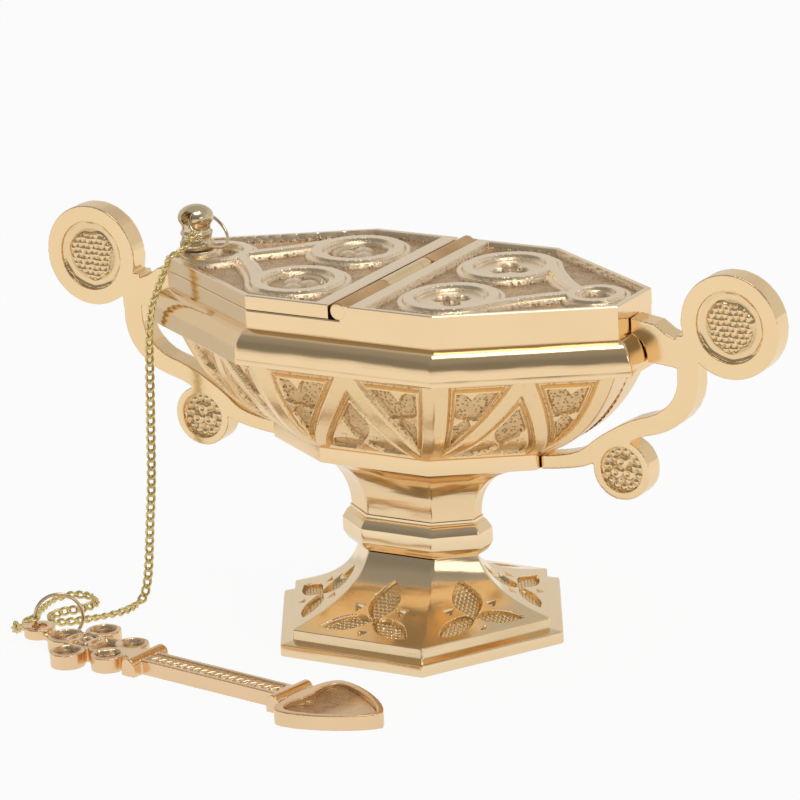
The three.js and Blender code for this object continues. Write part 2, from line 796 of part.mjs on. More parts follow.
// Chain: a short run on the lid, a run that hangs to the table and a run that lies there in loops
const chainOverLid = [
  [-57.8, -7.3, 96.2], [-57.9, -8.5, 94.9], [-58, -10.2, 94.1], [-58.2, -12.2, 93.8], [-58.6, -13.8, 93.4],
  [-58.9, -14.6, 92.8],
];
const chainDown = [
  [-59.2, -15.05, 92], [-59.9, -15.4, 90.2], [-61.9, -15.8, 86], [-64, -15.8, 81.4], [-65.8, -14.8, 76.6],
  [-67, -14, 71], [-67.6, -13.8, 63.9], [-68.3, -14, 49.5], [-69.2, -14.3, 32.3], [-70.4, -14.3, 22],
  [-71.7, -14.1, 11.5], [-72.6, -14.2, 5.6], [-73, -15.2, 2.6], [-73, -16.8, 1.5],
];
const chainOnTable = [
  [-73, -17.5, 1.3], [-72.7, -20.6, 1.3], [-73.1, -24.4, 1.3], [-75, -28.6, 1.3], [-77.8, -32.4, 1.3],
  [-81.2, -36.2, 1.3], [-85.2, -38.2, 1.3], [-88.2, -35.2, 1.3], [-87.4, -30.8, 1.3], [-84.2, -27, 1.3],
  [-83.4, -22.4, 1.3], [-86.8, -18.6, 1.3], [-91.8, -18.8, 1.3], [-94.4, -22.8, 1.3], [-94.2, -28.2, 1.3],
  [-93, -34, 1.3], [-91.8, -39.8, 1.3], [-90.6, -45, 1.4], [-89.3, -49.4, 2.6], [-87.8, -52, 4.8],
];

// Spoon's ring stands on the table, through the eye and round its far edge
const eyeMiddle = eyeLift + eyeThickness / 2;
const spoonRingLift = spoonRingRadius + spoonRingWire + 0.05;
const spoonRingOut = Math.sqrt(spoonRingRadius ** 2 - (spoonRingLift - eyeMiddle) ** 2);
const ringAngle = THREE.MathUtils.degToRad(spoonRingTurn);
const ringAcross = new THREE.Vector3(Math.cos(ringAngle), Math.sin(ringAngle), 0);
const ringCentre = new THREE.Vector3(...spoonEye, spoonRingLift).addScaledVector(ringAcross, spoonRingOut);
const standing = new THREE.Vector3(0, 0, 1);

// The chain's last link, a small ring that hooks the spoon's ring where it stands upright
const endLinkRadius = 2.1;
const endLinkWire = 0.35;
const endLinkDrop = 0.2;

function makeEndLink() {
  const side = new THREE.Vector3().crossVectors(standing, ringAcross);
  const along = ringAcross.clone().negate().setZ(-endLinkDrop).normalize();
  const hook = ringCentre.clone().addScaledVector(ringAcross, -spoonRingRadius);
  const centre = hook.addScaledVector(along, endLinkRadius - endLinkWire - spoonRingWire - seatGap);
  const link = wireRing(centre, endLinkRadius, endLinkWire, along, side, 16);
  return piece('chain_end_link', link, chainBrass);
}

function makeSpoonRing() {
  const solid = wireRing(ringCentre, spoonRingRadius, spoonRingWire, ringAcross, standing);
  return piece('spoon_ring', solid, agedBrass);
}

// Spoon, built along X from its eye and turned as a whole
// Knot plate: four lobes about a core, and two smaller lobes at its heel
function lobedPlate() {
  const lobes = [
    [plateMiddle, 0, coreRadius],
    [plateMiddle - endLobeOffset, 0, endLobeRadius], [plateMiddle + endLobeOffset, 0, endLobeRadius],
    [plateMiddle, sideLobeOffset, sideLobeRadius], [plateMiddle, -sideLobeOffset, sideLobeRadius],
    [heelLobePlace, heelLobeOffset, heelLobeRadius], [heelLobePlace, -heelLobeOffset, heelLobeRadius],
  ];
  const discs = lobes.map(([along, across, radius]) =>
    upright(radius, 0, spoonThickness, 14, [along, across]));
  const spine = block([plateMiddle, barStart + 1], [-3, 3], [0, spoonThickness]);
  return unite(spine, ...discs);
}

function scoopShape(inset) {
  const start = barStart + barLength + spoonCollarLength / 2;
  const half = scoopWidth / 2 - inset;
  const tip = start + scoopLength - inset;
  const neck = 3.2 - inset * 0.5;
  const shape = new THREE.Shape();
  shape.moveTo(start + inset * 2, -neck);
  shape.bezierCurveTo(start + 1 + inset, -neck - 1, start + inset, -half, start + 5 + inset * 0.5, -half);
  shape.bezierCurveTo(start + 12, -half, tip - 2, -5 + inset * 0.4, tip, 0);
  shape.bezierCurveTo(tip - 2, 5 - inset * 0.4, start + 12, half, start + 5 + inset * 0.5, half);
  shape.bezierCurveTo(start + inset, half, start + 1 + inset, neck + 1, start + inset * 2, neck);
  return shape;
}

function collarAt(place, width) {
  const radius = spoonCollarLength / 2;
  const top = spoonThickness + spoonCollarProud;
  const lower = block([place - radius, place + radius], [-width / 2, width / 2], [0, top - radius]);
  const crown = barAlongY(radius, -width / 2, width / 2, place, top - radius, 20);
  return lower.add(crown);
}

function makeSpoon() {
  const eye = upright(eyeRadius, eyeLift, eyeLift + eyeThickness, 20);
  const barEnd = barStart + barLength;
  const bar = block([barStart - 1, barEnd + 1], [-barWidth / 2, barWidth / 2], [0, spoonThickness]);
  const trough = block([barStart + 3, barEnd - 3],
    [-barWidth / 2 + 1.2, barWidth / 2 - 1.2], [spoonThickness - 0.7, spoonThickness + 1]);
  const scoop = plateFrom(scoopShape(0), 0, spoonThickness, 10);
  const hollow = plateFrom(scoopShape(scoopLip), spoonThickness - scoopDepth, spoonThickness + 1, 10);
  const linkEnds = [eyeRadius / 2, plateStart + endLobeRadius / 2];
  const link = block(linkEnds, [-linkWidth / 2, linkWidth / 2], [eyeLift, eyeLift + eyeThickness / 2]);
  const body = unite(
    eye, link, lobedPlate(), bar.subtract(trough), scoop.subtract(hollow),
    collarAt(barStart + spoonCollarLength / 2, spoonCollarWidth),
    collarAt(barEnd, spoonCollarWidth),
  );
  const under = block([-eyeRadius - 1, plateStart], [-eyeRadius - 4, eyeRadius + 4], [-1, eyeLift]);
  const hole = upright(eyeHoleRadius, -1, spoonThickness + 3, 16);
  return piece('spoon', body.subtract(under).subtract(hole), spoonBrass);
}

// The boat
const group = new THREE.Group();
group.add(makeFoot(), makeKnop(), makeBowl(), ...makeRodParts());
group.add(piece('fixed_lid', lidPlate(1), satinBrass));
const knobTailHole = upright(knobTailRadius + seatGap, lidBase - 1, lidTop + 1, 24, [knobX, 0]);
group.add(piece('opening_lid', lidPlate(-1).subtract(knobTailHole), satinBrass));
knuckleNames.forEach((_, place) => group.add(makeKnuckle(place)));
group.add(makeHingePin(), makeKnob(), makeKnobRing(), ...makeHandleParts());
group.add(piece('chain_top', tube(chainOverLid, chainWidth), chainBrass));
group.add(piece('chain_hanging', tube(chainDown, chainWidth), chainBrass));
group.add(piece('chain_lying', tube(chainOnTable, chainWidth), chainBrass));
group.add(makeEndLink());

const spoonGroup = new THREE.Group();
spoonGroup.position.set(...spoonEye, 0);
spoonGroup.rotation.z = THREE.MathUtils.degToRad(spoonTurn);
spoonGroup.add(makeSpoon());
group.add(spoonGroup, makeSpoonRing());

export default group;
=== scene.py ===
# Brass incense boat: the surfaces, finishes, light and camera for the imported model.
# Lengths are worked out in millimetres and become metres where a mesh is made. The origin is on the
# table under the middle of the foot, X runs along the bowl towards the fixed lid and Z is up.
import math
import bpy
import numpy as np
from mathutils import Matrix, Vector


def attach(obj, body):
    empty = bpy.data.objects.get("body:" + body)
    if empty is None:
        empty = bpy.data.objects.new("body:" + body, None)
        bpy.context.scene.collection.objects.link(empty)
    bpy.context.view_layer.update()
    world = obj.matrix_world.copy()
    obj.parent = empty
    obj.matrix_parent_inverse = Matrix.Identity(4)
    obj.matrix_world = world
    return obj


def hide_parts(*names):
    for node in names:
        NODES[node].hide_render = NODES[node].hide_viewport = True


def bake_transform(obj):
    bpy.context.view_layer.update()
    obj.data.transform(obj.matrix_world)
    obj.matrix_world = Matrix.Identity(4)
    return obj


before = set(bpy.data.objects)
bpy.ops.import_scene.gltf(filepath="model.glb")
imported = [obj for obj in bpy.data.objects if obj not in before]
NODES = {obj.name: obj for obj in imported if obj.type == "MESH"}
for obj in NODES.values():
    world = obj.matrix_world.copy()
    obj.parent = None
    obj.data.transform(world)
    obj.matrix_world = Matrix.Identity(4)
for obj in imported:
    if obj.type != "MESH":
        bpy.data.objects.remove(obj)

MM = 0.001
SCENE = bpy.context.scene
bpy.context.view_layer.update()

# Sizes shared with the solids
LID = (26.15, 31.9, 64.0, 8.63)
BAND = (15.2, 18.6, 37.3, 4.6)
STEM = (9.2, 8.4, 17.6, 2.2)
PLINTH_REACH, STEP_REACH = 40.4, 36.8
COLLAR = (9.2, 8.9, 17.2, 0.0)
STEP_BASE, STEP_TOP, FOOT_TOP = 3.6, 6.3, 20.5
KNOP_BASE, KNOP_TOP, KNOP_SWELL = 20.8, 29.8, 2.2
JOINT_CLOSED = 0.27
NECK_BASE, BAND_BASE, BAND_TOP, BAND_LEDGE = 30.1, 46.1, 50.1, 0.35
CAVITY_FLOOR, FILLET_BASE, OVOLO_BASE, RIM_BASE, RIM_TOP = 51.1, 74.9, 76.4, 83.1, 87.8
OVOLO_SWELL, WALL = 4.2, 2.4
LID_BASE, LID_TOP, LID_EDGE = 88.1, 91.6, 2.8
SKIRT_PROUD, SKIRT_BASE = 0.02, 87.45
HINGE_Z, BARREL_RADIUS, PIN_RADIUS = 90.1, 2.2, 0.9
KNOB_X, BALL_RISE, BALL_RADIUS, BALL_HALF_HEIGHT, HOLE_RISE, HOLE_RADIUS = -60.0, 8.2, 4.5, 3.2, 8.7, 1.75
DISC, DISC_RECESS = (90.7, 87.5), 8.9
SCROLL, SCROLL_RECESS = (60.0, 48.3), 5.7
HANDLE_FLOOR = 1.8
SPOON_EYE, SPOON_TURN = (-82.0, -49.5), -9.5
SPOON_TOP = 3.8

# Camera at the photograph's viewpoint
AZIMUTH, ELEVATION, ROLL = 31.187, 17.298, -3.065
CAMERA_DISTANCE, LENS, SENSOR = 1318.04, 239.53, 36.0
CAMERA_TARGET = (-3.084, 0.0, 58.086)


def make_camera():
    turn, lift, roll = (math.radians(a) for a in (AZIMUTH, ELEVATION, ROLL))
    back = Vector((math.sin(turn) * math.cos(lift), -math.cos(turn) * math.cos(lift), math.sin(lift)))
    level = Vector((math.cos(turn), math.sin(turn), 0.0))
    upright = back.cross(level)
    right = math.cos(roll) * level + math.sin(roll) * upright
    up = math.cos(roll) * upright - math.sin(roll) * level
    data = bpy.data.cameras.new("camera")
    data.lens, data.sensor_width, data.clip_start, data.clip_end = LENS, SENSOR, 0.05, 30.0
    data.dof.use_dof = False
    camera = bpy.data.objects.new("camera", data)
    SCENE.collection.objects.link(camera)
    place = (Vector(CAMERA_TARGET) + back * CAMERA_DISTANCE) * MM
    camera.matrix_world = Matrix.Translation(place) @ Matrix((right, up, back)).transposed().to_4x4()
    SCENE.camera = camera


make_camera()


# Shader nodes: a socket with arithmetic, and one method for every other node
class Value:
    def __init__(self, tree, socket):
        self.tree, self.socket = tree, socket

    def math(self, operation, *operands):
        return self.tree.node("ShaderNodeMath", {"operation": operation}, dict(enumerate(operands)))

    def __add__(self, other):
        return self.math("ADD", self, other)

    def __sub__(self, other):
        return self.math("SUBTRACT", self, other)

    def __rsub__(self, other):
        return self.math("SUBTRACT", other, self)

    def __mul__(self, other):
        return self.math("MULTIPLY", self, other)

    __radd__ = __add__
    __rmul__ = __mul__

    def power(self, exponent):
        return self.math("POWER", self, exponent)

    def ramp(self, low, high):
        inputs = {"Value": self, "From Min": low, "From Max": high}
        return self.tree.node("ShaderNodeMapRange", {"interpolation_type": "SMOOTHSTEP"}, inputs)


class Tree:
    def __init__(self, owner):
        owner.use_nodes = True
        self.nodes, self.links = owner.node_tree.nodes, owner.node_tree.links
        self.nodes.clear()

    def node(self, kind, settings=None, inputs=None, output=0):
        made = self.nodes.new(kind)
        for name, setting in (settings or {}).items():
            setattr(made, name, setting)
        for name, value in (inputs or {}).items():
            if isinstance(value, Value):
                self.links.new(value.socket, made.inputs[name])
            else:
                made.inputs[name].default_value = value
        return Value(self, made.outputs[output])

    def place(self, scale=(1, 1, 1)):
        spot = self.node("ShaderNodeTexCoord", output="Object")
        return self.node("ShaderNodeVectorMath", {"operation": "MULTIPLY"}, {0: spot, 1: scale})

    def noise(self, scale, detail=2.0, roughness=0.5, stretch=(1, 1, 1)):
        inputs = {"Vector": self.place(stretch), "Scale": scale, "Detail": detail, "Roughness": roughness}
        return self.node("ShaderNodeTexNoise", {}, inputs)

    def cells(self, scale):
        return self.node("ShaderNodeTexVoronoi", {}, {"Vector": self.place(), "Scale": scale})

    def parts(self, vector):
        outputs = self.node("ShaderNodeSeparateXYZ", {}, {"Vector": vector}).socket.node.outputs
        return [Value(self, socket) for socket in outputs]

    def blend(self, share, one, other):
        inputs = {"Factor": share, "A": one, "B": other}
        return self.node("ShaderNodeMix", {"data_type": "RGBA"}, inputs, output=2)

    def close(self, shader, kind):
        out = self.nodes.new(kind)
        self.links.new(shader.socket, out.inputs["Surface"])

    def attribute(self, name):
        return self.node("ShaderNodeAttribute", {"attribute_name": name}, output="Fac")


def colour(red, green, blue):
    return (red, green, blue, 1.0)


# Scales of the finish's patterns, and the height of its relief in metres
SWELLS, CLOUDS, RIPPLES, ROUGHENING = 38.0, 45.0, 95.0, 160.0
STREAKS, PATCHES, SPECKS, GRAINS, PUNCHES = 260.0, 260.0, 420.0, 900.0, 1300.0
RELIEF = 0.00012
ALONG_STREAKS, ALONG_RIPPLES = (0.1, 0.1, 1.5), (1, 1, 2.2)


def brass(name, tone, stain, shine, ground=None, ground_rough=0.45, grain=0.0, wave=0.0, stipple=0.0,
          spots=0.12, worn=0.0, streak=0.0):
    """Brass whose tone is broken by faint stains, with a darker, rougher and punched sunk ground."""
    material = bpy.data.materials.new(name)
    tree = Tree(material)
    clouds = tree.noise(CLOUDS, 3.0).ramp(0.35, 0.72)
    specks = tree.noise(SPECKS, 3.0, 0.6).ramp(0.58, 0.75)
    base = tree.blend(clouds * spots + specks * worn, colour(*tone), colour(*stain))
    rough = shine + tree.noise(ROUGHENING) * shine * 0.35 + specks * worn * 0.2
    height = tree.noise(GRAINS) * grain
    if ground is not None:
        sunk = tree.attribute("sunk")
        patches = tree.noise(PATCHES, 3.0, 0.6).ramp(0.3, 0.7)
        punched = tree.cells(PUNCHES).ramp(0.1, 0.45)
        dots = 0.55 if stipple else 0.85
        dark = tree.blend(punched, colour(*(dots * c for c in ground)), colour(*ground))
        base = tree.blend(sunk * (0.6 + patches * 0.4), base, dark)
        rough = rough + sunk * (ground_rough - shine)
        height = height + punched * sunk * stipple
    if streak:
        lines = tree.noise(STREAKS, 3.0, 0.6, ALONG_STREAKS)
        rough = rough + (lines - 0.4) * streak * 0.2
        height = height + lines * streak
    normal = tree.node("ShaderNodeBump", {}, {"Height": height, "Distance": RELIEF, "Strength": 1.0})
    if wave:
        swell = tree.noise(SWELLS, 1.0) + tree.noise(RIPPLES, 1.0, 0.5, ALONG_RIPPLES) * 0.25
        normal = tree.node("ShaderNodeBump", {}, {"Height": swell, "Distance": wave, "Normal": normal})
    inputs = {"Base Color": base, "Metallic": 1.0, "Roughness": rough, "Normal": normal}
    tree.close(tree.node("ShaderNodeBsdfPrincipled", {}, inputs), "ShaderNodeOutputMaterial")
    return material


POLISHED = brass("polished_brass", (0.93, 0.69, 0.41), (0.78, 0.52, 0.22), 0.11,
                 (0.45, 0.36, 0.2), 0.35, grain=0.05, wave=0.0006, streak=0.35)
HULL_BRASS = brass("hull_brass", (0.93, 0.68, 0.38), (0.74, 0.48, 0.2), 0.2,
                   (0.74, 0.5, 0.25), 0.34, grain=0.3, wave=0.0002, stipple=1.6, worn=0.15)
SATIN = brass("satin_brass", (0.93, 0.76, 0.54), (0.76, 0.56, 0.33), 0.24,
              (0.6, 0.42, 0.25), 0.45, grain=0.3, stipple=2.4, worn=0.15)
FOOT_BRASS = brass("foot_brass", (0.95, 0.74, 0.47), (0.8, 0.53, 0.22), 0.12,
                   (0.85, 0.62, 0.3), 0.2, grain=0.05, wave=0.00055, streak=0.25)
HANDLE_BRASS = brass("handle_brass", (0.93, 0.69, 0.4), (0.78, 0.53, 0.24), 0.15,
                     (0.6, 0.44, 0.23), 0.36, grain=0.12, wave=0.0003, stipple=0.3)
AGED = brass("aged_brass", (0.78, 0.64, 0.42), (0.26, 0.17, 0.08), 0.13, grain=0.3, spots=0.65, worn=0.5)
KNUCKLE_ROUGH = brass("knuckle_rough", (0.78, 0.53, 0.27), (0.42, 0.21, 0.07), 0.4, grain=1.1, spots=0.7,
                      worn=0.5)
KNUCKLE_CLEAN = brass("knuckle_clean", (0.9, 0.69, 0.4), (0.7, 0.47, 0.2), 0.26, grain=0.3, spots=0.3)
CHAIN = brass("chain_brass", (0.84, 0.68, 0.32), (0.5, 0.37, 0.13), 0.18, grain=0.1, spots=0.5)
SPOON_BRASS = brass("spoon_brass", (0.92, 0.66, 0.4), (0.66, 0.42, 0.2), 0.18,
                    (0.46, 0.32, 0.2), 0.4, grain=0.15, wave=0.0002, stipple=0.5)
STEEL = brass("steel", (0.42, 0.42, 0.43), (0.3, 0.29, 0.28), 0.35, grain=0.2)


# Meshes
def smooth(edge, width):
    """Soft step from 0 to 1 over a width that starts at an edge."""
    t = np.clip(edge / width, 0.0, 1.0)
    return t * t * (3.0 - 2.0 * t)


def dress(data, material, sunk, sharp):
    """Finish of a mesh: its brass, how far each point is sunk, and the angle above which an edge is sharp."""
    data.materials.clear()
    data.materials.append(material)
    if sunk is not None:
        layer = data.attributes.new("sunk", "FLOAT", "POINT")
        layer.data.foreach_set("value", np.clip(np.asarray(sunk, np.float32), 0.0, 1.0))
    data.shade_smooth()
    if sharp:
        data.set_sharp_from_angle(angle=math.radians(sharp))


def new_mesh(name, points, faces, material, sharp, sunk=None):
    data = bpy.data.meshes.new(name)
    data.from_pydata((np.asarray(points, float).reshape(-1, 3) * MM).tolist(), [], faces)
    data.validate()
    dress(data, material, sunk, sharp)
    return data


def piece(name, data, body, nodes):
    """An object that is seen instead of nodes. Without a body it is attached to none."""
    thing = bpy.data.objects.new(name, data)
    SCENE.collection.objects.link(thing)
    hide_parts(*nodes)
    if body:
        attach(thing, body)
    return thing


def full_turn(steps):
    """Even angles round a circle."""
    return np.linspace(0, 2 * np.pi, steps, endpoint=False)


def net(rows, columns, closed=True):
    """Quads over rows of points; the columns close into rings unless told otherwise."""
    last = columns if closed else columns - 1
    faces = []
    for row in range(rows - 1):
        low, high = row * columns, (row + 1) * columns
        faces += [(low + c, low + (c + 1) % columns, high + (c + 1) % columns, high + c) for c in range(last)]
    return faces


def row_face(row, columns):
    return tuple(range(row * columns, (row + 1) * columns))


def closed_faces(rows, columns):
    """A net of closed rings with a face at each end."""
    return net(rows, columns) + [row_face(0, columns)[::-1], row_face(rows - 1, columns)]


def joined(*parts):
    """One set of points and faces from several."""
    points, faces = np.zeros((0, 3)), []
    for some_points, some_faces in parts:
        faces += [tuple(len(points) + corner for corner in face) for face in some_faces]
        points = np.vstack([points, np.reshape(some_points, (-1, 3))])
    return points, faces


def dome(away, radius):
    """Height of a half ball of height 1 at a distance from its middle."""
    return np.sqrt(np.clip(1 - (away / radius) ** 2, 0, 1))


def unit(vector):
    return vector / np.linalg.norm(vector)


def normals_of(grid):
    """Outward directions of a grid of rows that rise and closed columns that run anticlockwise."""
    across = np.roll(grid, -1, axis=1) - np.roll(grid, 1, axis=1)
    normal = np.cross(across, np.gradient(grid, axis=0))
    return normal / np.maximum(np.linalg.norm(normal, axis=2, keepdims=True), 1e-9)


# Sections seen from above, as in the solids
def mix(one, other, share):
    return tuple(a + (b - a) * share for a, b in zip(one, other))


def grow(section, distance):
    """Moves the sides of a section out. A section is half its front side, half its depth, its reach to
    the end and half its nose."""
    flat, depth, reach, nose = section
    nx, ny = depth - nose, reach - flat
    length = math.hypot(nx, ny)
    nx, ny = nx / length, ny / length
    line = nx * flat + ny * depth + distance
    if nose == 0.0:
        return ((line - ny * (depth + distance)) / nx, depth + distance, line / nx, 0.0)
    new_nose = (line - nx * (reach + distance)) / ny
    return ((line - ny * (depth + distance)) / nx, depth + distance, reach + distance, new_nose)


def corners_of(section):
    flat, depth, reach, nose = section
    if nose == 0.0:
        return [(-flat, -depth), (flat, -depth), (reach, 0), (flat, depth), (-flat, depth), (-reach, 0)]
    return [(-flat, -depth), (flat, -depth), (reach, -nose), (reach, nose),
            (flat, depth), (-flat, depth), (-reach, nose), (-reach, -nose)]


def section_ring(section, counts, radius):
    """Points round a section with rounded corners."""
    corners = np.array(corners_of(section), float)
    points = []
    for side, count in enumerate(counts):
        here, after, beyond = (corners[(side + k) % len(corners)] for k in range(3))
        length = np.linalg.norm(after - here)
        run = (after - here) / length
        back, onward = unit(corners[side - 1] - here), unit(beyond - after)
        trim = min(radius, length * 0.3)
        points += [quadratic(here + back * trim, here, here + run * trim, t) for t in (0.5, 0.75, 1.0)]
        points += [here + run * d for d in np.linspace(trim, length - trim, count)[1:]]
        points.append(quadratic(after - run * trim, after, after + onward * trim, 0.25))
    return np.array(points)


def side_of_columns(counts):
    """For each column of a ring: the side it is on and its share of the way along that side."""
    side, share = [], []
    for k, count in enumerate(counts):
        inner = list(np.linspace(0.0, 1.0, count))
        side += [k] * (count + 3)
        share += [0.0, 0.0] + inner + [1.0]
    return np.array(side), np.array(share)


def loft_grid(levels, counts, radius):
    return np.array([np.c_[section_ring(section, counts, radius), np.full(sum(counts) + 3 * len(counts), z)]
                     for section, z in levels])


def quadratic(p0, p1, p2, t):
    return (1 - t) ** 2 * p0 + 2 * t * (1 - t) * p1 + t ** 2 * p2


def cubic(p0, p1, p2, p3, t):
    return (1 - t) ** 3 * p0 + 3 * t * (1 - t) ** 2 * p1 + 3 * t ** 2 * (1 - t) * p2 + t ** 3 * p3


# Marks that are cut into the castings: distances are positive inside a mark
def inside_polygon(x, y, corners):
    """Distance to the nearest edge of a convex polygon drawn anticlockwise."""
    best = np.full(np.shape(x), 1e9)
    for (ax, ay), (bx, by) in zip(corners, corners[1:] + corners[:1]):
        length = math.hypot(bx - ax, by - ay)
        best = np.minimum(best, ((bx - ax) * (y - ay) - (by - ay) * (x - ax)) / length)
    return best


def inside_leaf(x, y, centre, angle, half_length, half_width):
    """Pointed oval."""
    c, s = math.cos(angle), math.sin(angle)
    along = (x - centre[0]) * c + (y - centre[1]) * s
    across = (y - centre[1]) * c - (x - centre[0]) * s
    return half_width * (1 - (along / half_length) ** 2) - np.abs(across)


THIRD_OF_TURN = 2.0944
GROOVE_DEPTH, GROOVE_SIDE, GROOVE_WIDTH = 1.25, 0.75, 0.95
PLATE_SINK, PLATE_START, PLATE_MARGIN = 0.25, 1.3, 1.7
LEAF_DEPTH, LEAF_PLACE, LEAF_LENGTH, LEAF_SLIM, LEAF_MOST = 1.25, 0.42, 0.44, 0.3, 3.6
PUNCH_DEPTH, PUNCH_PLACE, PUNCH_SIZE = 0.8, 0.55, 1.05


def inside_punch(x, y, centre, angle, size):
    """Triangle with a corner at the angle."""
    turns = [angle + k * THIRD_OF_TURN for k in range(3)]
    corners = [(centre[0] + size * math.cos(turn), centre[1] + size * math.sin(turn)) for turn in turns]
    return inside_polygon(x, y, corners)


def triangle_marks(x, y, corners):
    """A plate in a triangle: a groove round it, a leaf towards each corner and punches between them.
    Gives the depth and how much of the ground is sunk."""
    edge = inside_polygon(x, y, corners)
    groove = smooth(edge, GROOVE_SIDE) * (1 - smooth(edge - GROOVE_WIDTH, GROOVE_SIDE))
    depth = GROOVE_DEPTH * groove + PLATE_SINK * smooth(edge - PLATE_START, 0.4)
    sunk = 0.5 * groove
    plate = smooth(edge - PLATE_MARGIN, 0.3)
    cx, cy = np.mean([c[0] for c in corners]), np.mean([c[1] for c in corners])
    for k, (px, py) in enumerate(corners):
        length = math.hypot(px - cx, py - cy)
        centre = (cx + (px - cx) * LEAF_PLACE, cy + (py - cy) * LEAF_PLACE)
        leaf = inside_leaf(x, y, centre, math.atan2(py - cy, px - cx), length * LEAF_LENGTH,
                           min(LEAF_MOST, length * LEAF_SLIM))
        nx, ny = corners[(k + 1) % 3]
        mx, my = (px + nx) / 2, (py + ny) / 2
        spot = (cx + (mx - cx) * PUNCH_PLACE, cy + (my - cy) * PUNCH_PLACE)
        punch = inside_punch(x, y, spot, math.atan2(my - cy, mx - cx), PUNCH_SIZE)
        for cut, most in ((smooth(leaf, 0.4) * plate, LEAF_DEPTH), (smooth(punch, 0.3) * plate, PUNCH_DEPTH)):
            depth, sunk = np.maximum(depth, most * cut), np.maximum(sunk, cut)
    return depth, sunk


# Hull: every face has a zigzag of straps between upright straps at the corners
HULL_COUNTS = [170, 150, 56, 150, 170, 150, 56, 150]
HULL_WIDTHS = [41.5, 35.3, 13.2, 35.3, 41.5, 35.3, 13.2, 35.3]
HULL_LENGTHS = [28.5, 31.0, 36.0, 31.0, 28.5, 31.0, 36.0, 31.0]
HULL_ROWS, NARROW_FACE = 132, 20
POST_HALF, NARROW_POST_HALF, STRAP_HALF, PANEL_MARGIN, PANEL_TIP = 2.3, 2.2, 1.5, 1.3, 2.4


def face_marks(width, length, share, rise):
    """Marks of a face from its width, its length up the slope and the shares of the way across and up."""
    x, y = (share - 0.5) * width, rise * length
    half, low, high = width / 2, PANEL_MARGIN, length - PANEL_MARGIN
    depth, sunk = np.zeros_like(x), np.zeros_like(x)
    if width < NARROW_FACE:
        edge = half - NARROW_POST_HALF
        panels = [[(-edge, low), (edge, low), (0.0, high)]]
    else:
        edge = half - POST_HALF
        lean = STRAP_HALF * math.hypot(half, length) / length
        middle = [(-edge + lean, low), (edge - lean, low), (0.0, high - PANEL_TIP)]
        left = [(-edge, high), (-edge, low + PANEL_TIP), (-lean - 0.1, high)]
        right = [(edge, high), (lean + 0.1, high), (edge, low + PANEL_TIP)]
        panels = [middle, left, right]
    for corners in panels:
        one, other = triangle_marks(x, y, corners)
        depth, sunk = np.maximum(depth, one), np.maximum(sunk, other)
    return depth, sunk


def hull_levels(distance, shares):
    levels = []
    for t in shares:
        u = quadratic(0.01, 0.67, 0.955, t)
        z = quadratic(BAND_TOP, BAND_TOP + 0.2 * (FILLET_BASE - BAND_TOP), FILLET_BASE, t)
        levels.append((grow(mix(BAND, LID, u), distance), z))
    return levels


